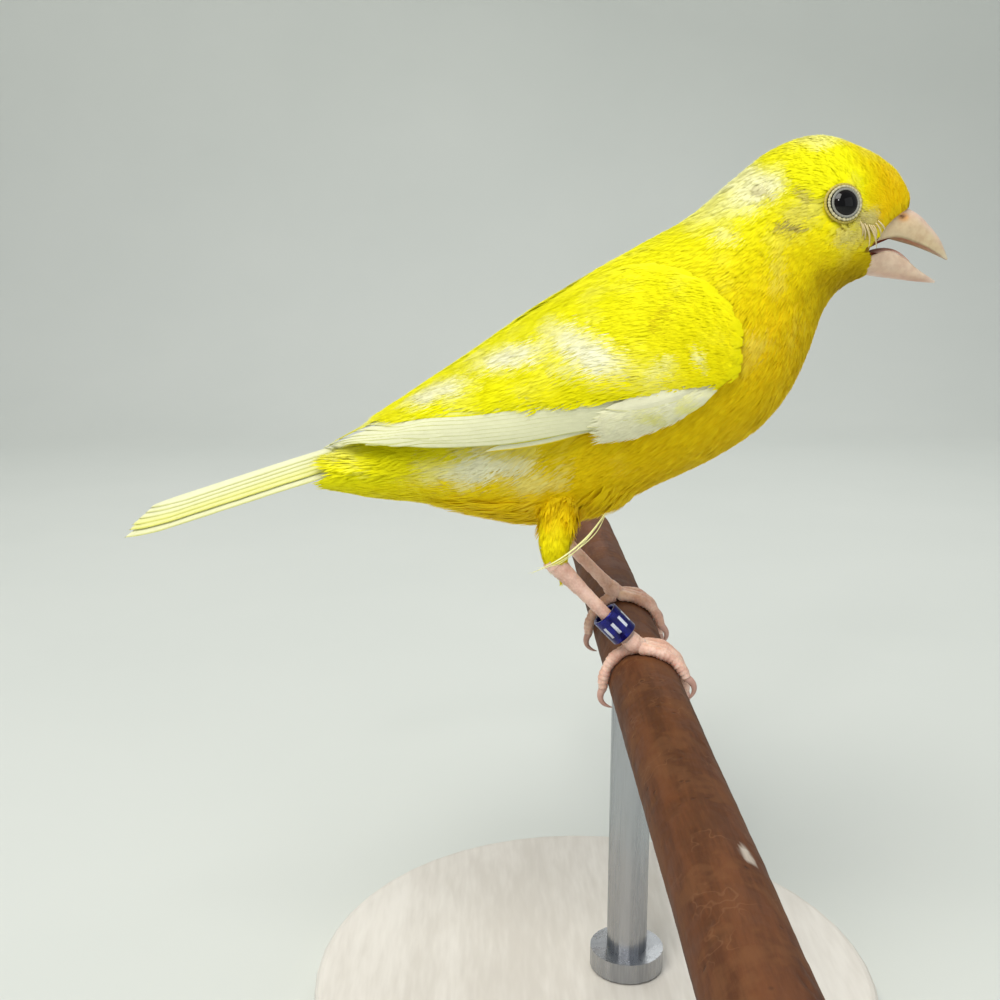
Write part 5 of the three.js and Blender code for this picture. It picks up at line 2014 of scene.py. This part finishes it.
@dataclass
class Head:
    """Eyes with their lids, bill, tongue and the bristles at the gape."""

    canary: Canary
    bristle_count: int = 9

    def build(self, finishes: dict[str, Material]) -> None:
        """Makes the head's separate pieces.

        Args:
            finishes: the materials by short name.
        """
        body, eye, bill = self.canary.body, self.canary.eye, self.canary.bill
        report_pair(eye.ball(body, srgb(3, 2, 2), srgb(18, 10, 7)), "eyeball", finishes["eye"], "eye")
        report_pair(eye.lids(body), "lids", finishes["lid"])
        lining = srgb(228, 176, 152)
        top = bill.half(bill.upper, srgb(236, 206, 186), srgb(222, 200, 160), lining)
        # Lower half: its cutting edge, on top, is paler, partly its own cream tone and partly a painted
        # highlight
        bottom = bill.half(bill.lower, srgb(222, 180, 158), srgb(236, 210, 184), lining)
        report(top.build("bill_top", finishes["horn"]), ("bill_upper",))
        report(bottom.build("bill_bottom", finishes["horn"]), ("bill_lower",))
        tongue = Shell()
        # Tongue: paler than its own brownish pink, as painted light that makes up for the shade under the
        # upper bill
        tongue.add_tube(Limb(bill.tongue, bill.tongue_flatness), np.linspace(0, 3, 30), 20,
                        srgb(255, 214, 194))
        report(tongue.build("tongue_tip", finishes["mouth"]), ("tongue",))
        self.bristles(finishes["bristle"])

    def bristles(self, material: Material) -> None:
        """Pale bristles that hang from the lores over the corner of the mouth, on both sides.

        Args:
            material: their finish.
        """
        shell = Shell()
        draw = np.random.default_rng(17)
        for number in range(self.bristle_count):
            f = number / (self.bristle_count - 1)
            start = np.array([26.7 + 2.5 * f, -7.4 + 0.6 * f, 58.9 + draw.uniform(-0.3, 0.3)])
            shorter = 1 - 0.35 * abs(2 * f - 0.8)
            lean = np.array([draw.uniform(0.3, 1.3), 0.4, -draw.uniform(2.2, 3.4) * shorter])
            nodes = [(*(start + lean * t + np.array([0.7 * t * (1 - t), -1.2 * t * (1 - t), 0])), r)
                     for t, r in ((0, 0.09), (0.35, 0.12), (0.7, 0.1), (1.0, 0.02))]
            shell.add_tube(Limb(tuple(nodes)), np.linspace(0, 3, 9), 6, srgb(216, 198, 150))
        report_pair(shell, "bristles", material)


@dataclass
class StrayPlume:
    """The one thin pale feather that hangs across the right thigh, with two finer hairs beside it."""

    # Middle line: x, y, z, radius
    line: tuple = ((-5.5, -11.0, 21.8, 0.06), (-8.2, -14.2, 19.3, 0.13), (-11.5, -15.8, 17.0, 0.11),
                   (-15.3, -15.2, 14.8, 0.02))
    hairs: int = 3

    def build(self, material: Material) -> None:
        """Makes the plume and its hairs as thin closed tubes.

        Args:
            material: their finish.
        """
        shell = Shell()
        draw = np.random.default_rng(4)
        for number in range(self.hairs):
            shift = draw.normal(0, 0.5 * (number > 0), (4, 3)) * np.array([[0.2], [0.7], [1.0], [1.4]])
            nodes = np.array(self.line) * [1, 1, 1, 1 if number == 0 else 0.4]
            nodes[:, :3] += shift
            shell.add_tube(Limb(tuple(map(tuple, nodes))), np.linspace(0, 3, 26), 6, PALE)
        report(shell.build("stray_plume", material))


@dataclass
class Leg:
    """One bare leg: the scaled shank, the foot that grips the perch, and its claws."""

    side: Side
    spread: float = 12.5
    perch_radius: float = 4.7
    toe_radius: float = 0.82
    knuckle: float = 0.1
    heel: tuple = (-11.7, 15.0)
    ankle: tuple = (-1.5, 4.4)
    claw_length: float = 3.2
    # Name, angle round the perch at root and tip, sideways reach at root and tip, turn of the claw
    toes: tuple = (
        ("hallux", 108, 186, 0.4, 0.9, 1),
        ("outer", 96, 22, -0.6, -2.6, -1),
        ("middle", 96, -8, 0.0, 0.2, -1),
        ("inner", 96, 14, 0.6, 2.9, -1),
    )

    @property
    def grip(self) -> float:
        """Distance of a toe's middle line from the perch's axis."""
        return self.perch_radius + self.toe_radius * 0.95

    def round_perch(self, degrees: Array, sideways: Array, radius: Array) -> Array:
        """Place at an angle round the perch."""
        angle = np.radians(degrees)
        x, z = radius * np.cos(angle), radius * np.sin(angle) - PERCH_DROP
        return np.stack([x, -self.spread + sideways, z], -1)

    def scutes(self, rows: Array, sides: int, count: float, depth: float) -> Array:
        """Height of overlapping plates along a limb: a saw-tooth that drops at each plate's end.

        Args:
            rows: share of the way along the limb.
            sides: points round it.
            count, depth: how many plates, and how high they stand.

        Returns:
            Heights, rows by sides, lower at the back.
        """
        phase = (rows * count) % 1.0
        plate = np.where(phase < 0.85, phase / 0.85, (1 - phase) / 0.15)
        turn = turns(sides)
        front = 0.35 + 0.65 * smoothstep(np.sin(turn), -0.6, 0.5)
        return depth * plate[:, None] * front[None, :]

    def shank(self) -> Shell:
        """The shank: a tube from the heel into the foot, with plates down its front.

        Returns:
            The closed tube.
        """
        heel = np.array([self.heel[0], -self.spread, self.heel[1]])
        ankle = np.array([self.ankle[0], -self.spread, self.ankle[1]])
        way = unit(ankle - heel)
        nodes = ((*(heel - way * 1.5), 1.3), (*heel, 1.3), (*(heel + (ankle - heel) * 0.35), 0.9),
                 (*(heel + (ankle - heel) * 0.75), 0.86), (*(ankle + way * 0.1), 1.15))
        limb = Limb(nodes)
        shell = Shell()
        rows = np.linspace(0, 1, 130)
        shell.add_tube(limb, rows * 4, 28, np.ones(3), rise=self.scutes(rows, 28, 13, 0.09))
        return shell

    def foot(self) -> Shell:
        """The foot: a pad at the ankle and four toes round the perch, with knuckles, plates and pads.

        Returns:
            The closed pad and toes.
        """
        shell = Shell()
        ax, az = self.ankle
        pad = Limb(((ax - 0.9, -self.spread, az + 0.9, 1.15), (ax, -self.spread, az, 1.3),
                    (ax + 1.2, -self.spread, self.grip - PERCH_DROP + 0.1, 0.9)), 1.12)
        shell.add_tube(pad, np.linspace(0, 2, 18), 24, np.ones(3))
        for _, start, end, root, reach, _ in self.toes:
            t = np.linspace(0, 1, 9)
            bulge = 1 + self.knuckle * np.cos(2 * np.pi * t * 2.5)
            radius = self.toe_radius * (1.0 - 0.22 * t) * bulge
            sideways = root + (reach - root) * np.sqrt(t)
            places = self.round_perch(start + (end - start) * t, sideways, self.grip)
            limb = Limb(tuple(map(tuple, np.column_stack([places, radius]))))
            rows = np.linspace(0, 1, 90)
            shell.add_tube(limb, rows * 8, 20, np.ones(3), rise=self.scutes(rows, 20, 12, 0.1))
        return shell

    def claws(self) -> list[tuple[str, Shell]]:
        """The four claws: tapered and curved, darker to the tip.

        Returns:
            Each toe's name and its claw.
        """
        made = []
        for name, _, end, _, reach, turn in self.toes:
            t = np.linspace(-0.15, 1, 8)
            swing = turn * np.degrees(self.claw_length / self.grip)
            radius = self.grip + 0.75 * np.sin(np.pi * np.clip(t, 0, 1)) - 0.1 * t
            places = self.round_perch(end + swing * t, reach + 0 * t, radius)
            width = 0.52 * (1 - np.clip(t, 0, 1)) ** 0.75 + 0.05
            limb = Limb(tuple(map(tuple, np.column_stack([places, width]))), 0.75)
            rows = np.linspace(0, 7, 40)
            colour = np.linspace(1.0, 0.6, 40)[:, None, None] * np.ones((1, 14, 3))
            shell = Shell()
            shell.add_tube(limb, rows, 14, colour)
            made.append((name, shell))
        return made

    def build(self, finishes: dict[str, Material]) -> None:
        """Makes the leg's pieces.

        Args:
            finishes: the materials by short name.
        """
        name = self.side.value
        pieces = [("shank_scaled", "leg", "leg_skin", "shank", self.shank()),
                  ("foot_scaled", "leg", "leg_skin", "foot", self.foot())]
        pieces += [(f"nail_{toe}", "claw", "claw_horn", f"claw_{toe}", shell) for toe, shell in self.claws()]
        for label, finish, slot, node, shell in pieces:
            shell = shell if self.side is Side.RIGHT else shell.mirrored()
            report(shell.build(f"{label}_{name}", finishes[finish]), (f"{node}_{name}",))


@dataclass
class LegRing:
    """The closed ring: a short rounded tube on the right shank."""

    leg: Leg
    outer: float = 1.9
    inner: float = 1.48
    length: float = 4.0
    from_ankle: float = 3.9
    sag: float = 0.1
    rounding: float = 0.14

    def build(self, material: Material) -> None:
        """Turns a rounded wall section round the shank's line.

        Args:
            material: the ring's finish.
        """
        heel, ankle = (np.array([p[0], -self.leg.spread, p[1]]) for p in (self.leg.heel, self.leg.ankle))
        way = unit(ankle - heel)
        middle = ankle - way * self.from_ankle - np.array([0, 0, self.sag])
        side = np.array([0.0, 1.0, 0.0])
        over = np.cross(way, side)
        corner = np.linspace(0, math.pi / 2, 5)
        profile = []
        half, r = self.length / 2, self.rounding
        for cx, cz, start in ((self.outer - r, half - r, 0.0), (self.inner + r, half - r, math.pi / 2),
                              (self.inner + r, r - half, math.pi), (self.outer - r, r - half, 1.5 * math.pi)):
            profile += [(cx + r * math.cos(start + a), cz + r * math.sin(start + a)) for a in corner]
        profile = np.array(profile)
        turn = turns(72)
        circle = np.cos(turn)[:, None] * side + np.sin(turn)[:, None] * over
        points = middle + profile[None, :, :1] * circle[:, None] + profile[None, :, 1:] * way
        pattern = np.stack(np.broadcast_arrays(turn[:, None] / (2 * math.pi) + 0.001,
                                               profile[None, :, 1] / self.length + 0.5), -1)
        shell = Shell()
        shell.add_loop(points, np.ones(3), pattern=pattern)
        report(shell.build("ring_band", material), ("leg_ring",))


@dataclass
class Stand:
    """The perch and the plain stand that carries it."""

    radius: float = 4.7
    near_end: float = -90.0
    far_end: float = 76.0
    chamfer: float = 0.5

    def perch(self) -> Shell:
        """The round perch: a lathed rod, its surface a little uneven with shallow dents, painted darker as
        shade.

        Returns:
            The closed rod.
        """
        rows, sides = 240, 96
        y = np.linspace(self.near_end, self.far_end, rows)
        v = turns(sides)
        yy, vv = np.meshgrid(y, v, indexing="ij")
        place = np.stack([np.cos(vv) * self.radius, yy, np.sin(vv) * self.radius], -1)
        broad = (soft_noise(place * np.array([1, 0.25, 1]), 2.4, 5) - 0.5) * 0.12
        fine = (soft_noise(place * np.array([1, 0.5, 1]), 0.7, 6) - 0.5) * 0.07
        worn = soft_noise(place * np.array([1, 0.4, 1]), 3.4, 9)
        dents = smoothstep(soft_noise(place + 2.0 * worn[..., None], 1.3, 12) * worn, 0.42, 0.62) * 0.16
        end = np.minimum(yy - self.near_end, self.far_end - yy)
        bevel = np.minimum(end - self.chamfer, 0)
        radius = self.radius - 0.05 + broad + fine - dents + bevel
        points = np.stack([np.cos(vv) * radius, yy, np.sin(vv) * radius - PERCH_DROP], -1)
        # Painted shade: the colour is darker in the dents
        colour = (1.0 - 1.2 * dents)[..., None] * np.ones(3)
        fleck = np.linalg.norm((place - self.fleck_place()) * np.array([1.3, 0.6, 1.3]), axis=-1)
        colour = mix(colour, np.array([4.6, 12.0, 30.0]), smoothstep(fleck + fine * 9, 1.0, 0.7))
        shell = Shell()
        shell.add_rings(points, colour)
        return shell

    def fleck_place(self) -> Array:
        """Where the small white fleck sits on the perch's near part."""
        angle = math.radians(62.6)
        return np.array([self.radius * math.cos(angle), -66.1, self.radius * math.sin(angle)])

    def build(self, finishes: dict[str, Material]) -> None:
        """Makes the perch and dresses the stand's own solids.

        Args:
            finishes: the materials by short name.
        """
        report(self.perch().build("perch_rod", finishes["wood"]), ("perch",))
        for node, finish in (("stand_base", "base"), ("stand_rod", "rod")):
            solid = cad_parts[node]
            solid.data.materials.clear()
            solid.data.materials.append(finishes[finish])


def wood_material(shop: Workshop) -> Material:
    """Matt reddish-brown wood: grain drawn out along the perch, with scuffs, pits and the point colours.

    Args:
        shop: the shared node groups.

    Returns:
        The finished material.
    """
    material, nodes, shader = new_material("perch_wood")
    place = nodes.add("ShaderNodeTexCoord").outputs["Object"]
    drawn = nodes.add("ShaderNodeMapping", Vector=place, Scale=(1.0, 0.12, 1.0)).outputs["Vector"]
    grain = place_group(nodes, shop.mottle, drawn, Broad=420.0, Fine=2600.0)
    scuff = place_group(nodes, shop.mottle, place, Broad=190.0, Fine=700.0)
    pits = nodes.add("ShaderNodeTexVoronoi", Vector=place, Scale=620.0)
    colour = nodes.blend(grain.outputs["Mask"], rgba(srgb(82, 46, 24)), rgba(srgb(106, 62, 34)))
    scuffed = nodes.span(scuff.outputs["Mask"], 0.5, 1.0, 0.0, 0.4)
    colour = nodes.blend(scuffed, colour, rgba(srgb(120, 80, 50)))
    scratch = nodes.span(nodes.from_half(nodes.noise(place, 260.0, 2.0, 0.7)), 0.0, 0.02, 1.0, 0.0)
    where = nodes.span(nodes.noise(place, 120.0, 1.0), 0.5, 0.62, 0.0, 0.25)
    scratch = nodes.math("MULTIPLY", scratch, where)
    colour = nodes.blend(scratch, colour, rgba(srgb(146, 104, 72)))
    pit = nodes.span(pits.outputs["Distance"], 0.08, 0.24, 1.0, 0.0)
    pit = nodes.math("MULTIPLY", pit, nodes.span(nodes.noise(place, 210.0, 1.0), 0.5, 0.6, 0.0, 1.0))
    colour = nodes.blend(nodes.math("MULTIPLY", pit, 0.5), colour, rgba(srgb(52, 28, 16)))
    height = nodes.math("SUBTRACT", grain.outputs["Height"], nodes.math("MULTIPLY", pit, 0.6))
    height = nodes.math("SUBTRACT", height, nodes.math("MULTIPLY", scratch, 0.3))
    shader.inputs["Specular IOR Level"].default_value = 0.25
    bump = nodes.add("ShaderNodeBump", Strength=0.6, Distance=0.00012, Height=height)
    nodes.feed(shader.inputs["Base Color"], nodes.tinted(colour))
    nodes.feed(shader.inputs["Roughness"], nodes.span(scuff.outputs["Mask"], 0, 1, 0.62, 0.78))
    nodes.feed(shader.inputs["Normal"], bump.outputs["Normal"])
    return material


def ring_material(shop: Workshop) -> Material:
    """Blue anodised metal with a plain band of short white bars round it, and fine wear.

    Args:
        shop: the shared node groups.

    Returns:
        The finished material.
    """
    material, nodes, shader = new_material("ring_metal")
    uv = nodes.add("ShaderNodeUVMap", uv_map=PATTERN_UV).outputs["UV"]
    place = nodes.add("ShaderNodeTexCoord").outputs["Object"]
    parts = nodes.add("ShaderNodeSeparateXYZ", Vector=uv)
    wear = place_group(nodes, shop.mottle, place, Broad=700.0, Fine=3000.0)
    turn = nodes.math("FRACT", nodes.math("MULTIPLY", parts.outputs["X"], 9.0))
    bar = nodes.span(nodes.from_half(turn), 0.14, 0.2, 1.0, 0.0)
    band = nodes.span(nodes.from_half(parts.outputs["Y"]), 0.2, 0.23, 1.0, 0.0)
    kept = nodes.span(wear.outputs["Mask"], 0, 0.4, 0.6, 1.0)
    mark = nodes.math("MULTIPLY", nodes.math("MULTIPLY", bar, band), kept)
    blue = nodes.blend(wear.outputs["Mask"], rgba(srgb(12, 12, 84)), rgba(srgb(22, 25, 136)))
    nodes.feed(shader.inputs["Base Color"], nodes.blend(mark, blue, rgba(srgb(214, 220, 232))))
    nodes.feed(shader.inputs["Metallic"], nodes.span(mark, 0, 1, 0.75, 0.1))
    nodes.feed(shader.inputs["Roughness"], nodes.span(wear.outputs["Mask"], 0, 1, 0.34, 0.22))
    shader.inputs["Coat Weight"].default_value = 0.4
    return material


def eye_material() -> Material:
    """Wet, nearly black eye: the point colours under a clear coat, with a faint fleck in the iris.

    Returns:
        The finished material.
    """
    material, nodes, shader = new_material("eye_gloss")
    tint = nodes.add("ShaderNodeAttribute", attribute_name=TINT)
    place = nodes.add("ShaderNodeTexCoord").outputs["Object"]
    fleck = nodes.noise(place, 2600.0, 2.0)
    darker = nodes.add("ShaderNodeHueSaturation", Color=tint.outputs["Color"], Value=0.6)
    colour = nodes.blend(fleck, darker.outputs["Color"], tint.outputs["Color"])
    nodes.feed(shader.inputs["Base Color"], colour)
    shader.inputs["Roughness"].default_value = 0.04
    shader.inputs["Specular IOR Level"].default_value = 0.22
    shader.inputs["Coat Weight"].default_value = 0.2
    shader.inputs["Coat Roughness"].default_value = 0.02
    return material


def make_finishes(shop: Workshop) -> dict[str, Material]:
    """Builds every material of the bird and its stand.

    Args:
        shop: the shared node groups.

    Returns:
        The materials by short name.
    """
    plain = {
        "coat": PlumageFinish("coat_plumage"),
        "skin": PlumageFinish("skin_plumage", roughness=0.8, variation=0.1),
        "vane": PlumageFinish("flight_feathers", roughness=0.55, specular=0.2, patterned=True,
                              variation=0.03),
        "bristle": PlumageFinish("bristle", roughness=0.5),
        "lid": PlumageFinish("lid_skin", roughness=0.5, specular=0.4),
        "horn": MottledFinish("bill_horn", (236, 226, 222), (255, 255, 255), roughness=0.36, broad=300.0,
                              use_tint=True, subsurface=0.15, coat=0.15),
        # Near-white tones for the tongue: painted light against the shade in the mouth
        "mouth": MottledFinish("mouth_lining", (244, 232, 228), (255, 255, 255), roughness=0.4, use_tint=True,
                               coat=0.15),
        "leg": MottledFinish("leg_skin", (212, 166, 146), (240, 204, 186), roughness=0.5, broad=420.0,
                             fine=3200.0, use_tint=True, subsurface=0.2),
        "claw": MottledFinish("claw_horn", (206, 158, 142), (228, 186, 170), roughness=0.35, use_tint=True,
                              coat=0.2),
        "base": MottledFinish("stand_base", (206, 200, 190), (224, 219, 210), roughness=0.5, broad=60.0,
                              fine=900.0, stretch=(1.0, 0.15, 1.0)),
        "rod": MottledFinish("stand_rod", (150, 152, 156), (176, 178, 182), roughness=0.32, metallic=1.0,
                             broad=300.0, fine=4000.0, stretch=(1.0, 1.0, 0.05)),
    }
    made = {key: finish.material(shop) for key, finish in plain.items()}
    made["wood"] = wood_material(shop)
    made["ring"] = ring_material(shop)
    made["eye"] = eye_material()
    return made


@dataclass
class Studio:
    """Floor, light and camera."""

    # The camera in the bird's frame, in millimetres, and its two angles in degrees
    camera_place: tuple = (-21.1076, -164.1108, 55.5596)
    pitch: float = 11.8
    yaw: float = 0.67
    lens: float = 43.2
    sensor: float = 36.0

    def floor(self) -> None:
        """A pale floor that sweeps up behind in a quarter circle."""
        radius, depth, half = 0.25, 0.55, 1.4
        turn = np.linspace(0, math.pi / 2, 24)
        y = np.concatenate([[-1.4], depth + radius * np.sin(turn), [depth + radius]])
        z = np.concatenate([[0.0], radius - radius * np.cos(turn), [1.6]])
        x = np.array([-half, half])
        points = np.stack([np.broadcast_to(x[None, :], (len(y), 2)), np.broadcast_to(y[:, None], (len(y), 2)),
                           np.broadcast_to(z[:, None], (len(y), 2))], -1).reshape(-1, 3)
        mesh = bpy.data.meshes.new("floor")
        quads = [(2 * k, 2 * k + 1, 2 * k + 3, 2 * k + 2) for k in range(len(y) - 1)]
        mesh.from_pydata(points.tolist(), [], quads)
        mesh.polygons.foreach_set("use_smooth", np.ones(len(quads), bool))
        sweep = bpy.data.objects.new("floor", mesh)
        bpy.context.scene.collection.objects.link(sweep)
        material, nodes, shader = new_material("floor")
        place = nodes.add("ShaderNodeTexCoord").outputs["Object"]
        tone = nodes.blend(nodes.noise(place, 9.0), rgba(srgb(206, 210, 204)), rgba(srgb(214, 217, 211)))
        nodes.feed(shader.inputs["Base Color"], tone)
        shader.inputs["Roughness"].default_value = 0.85
        mesh.materials.append(material)

    def lamp(self, name: str, place: tuple, aim: tuple, size: float, power: float, colour: tuple) -> None:
        """Adds a square soft light.

        Args:
            name: the light's name.
            place, aim: where it stands and what it faces, in metres.
            size: edge in metres.
            power: in watts.
            colour: its linear colour.
        """
        data = bpy.data.lights.new(name, "AREA")
        data.shape, data.size, data.energy, data.color = "SQUARE", size, power, colour
        lamp = bpy.data.objects.new(name, data)
        lamp.location = place
        lamp.rotation_euler = (Vector(aim) - Vector(place)).to_track_quat("-Z", "Y").to_euler()
        bpy.context.scene.collection.objects.link(lamp)

    def build(self) -> None:
        """Sets up floor, lights, world and camera."""
        self.floor()
        self.lamp("key", (-0.25, -0.42, 0.8), (0.0, 0.0, 0.09), 0.5, 6.3, (1.0, 0.98, 0.93))
        self.lamp("glint", (-0.16, -0.5, 0.42), (0.0, 0.0, 0.1), 0.05, 0.35, (1.0, 1.0, 1.0))
        self.lamp("fill", (0.9, -0.9, 0.4), (0.0, 0.0, 0.08), 1.2, 2.2, (0.95, 0.98, 1.0))
        self.lamp("back", (0.1, 0.45, 0.6), (0.0, 0.0, 0.1), 0.5, 1.6, (1.0, 1.0, 1.0))
        world = bpy.data.worlds.new("studio")
        world.use_nodes = True
        world.node_tree.nodes["Background"].inputs["Color"].default_value = (0.9, 0.95, 1.0, 1.0)
        world.node_tree.nodes["Background"].inputs["Strength"].default_value = 0.36
        bpy.context.scene.world = world
        bpy.context.scene.view_settings.view_transform = "Standard"
        data = bpy.data.cameras.new("camera")
        data.lens, data.sensor_width = self.lens, self.sensor
        data.clip_start, data.clip_end = 0.005, 20.0
        camera = bpy.data.objects.new("camera", data)
        camera.location = (np.array(self.camera_place) + ORIGIN) * METRES
        pitch, yaw = math.radians(self.pitch), math.radians(self.yaw)
        look = Vector((math.sin(yaw) * math.cos(pitch), math.cos(yaw) * math.cos(pitch), -math.sin(pitch)))
        camera.rotation_euler = look.to_track_quat("-Z", "Y").to_euler()
        bpy.context.scene.collection.objects.link(camera)
        bpy.context.scene.camera = camera


def main() -> None:
    """Builds the pieces in order, then the studio."""
    logging.basicConfig(level=logging.INFO, format="%(name)s %(message)s")
    finishes = make_finishes(Workshop())
    canary = Canary()
    skin = Skin(canary)
    skin.build(finishes["skin"])
    BodyCoat(canary).build(finishes["coat"])
    ThighCoat(canary, skin.thigh_limb()).build(finishes["coat"])
    for side in Side:
        Wing(canary, side).build(finishes["vane"], finishes["coat"])
    Tail(canary).build(finishes["vane"])
    StrayPlume().build(finishes["bristle"])
    Head(canary).build(finishes)
    legs = {side: Leg(side) for side in Side}
    for leg in legs.values():
        leg.build(finishes)
    LegRing(legs[Side.RIGHT]).build(finishes["ring"])
    Stand().build(finishes)
    Studio().build()


if __name__ == "__main__":
    main()
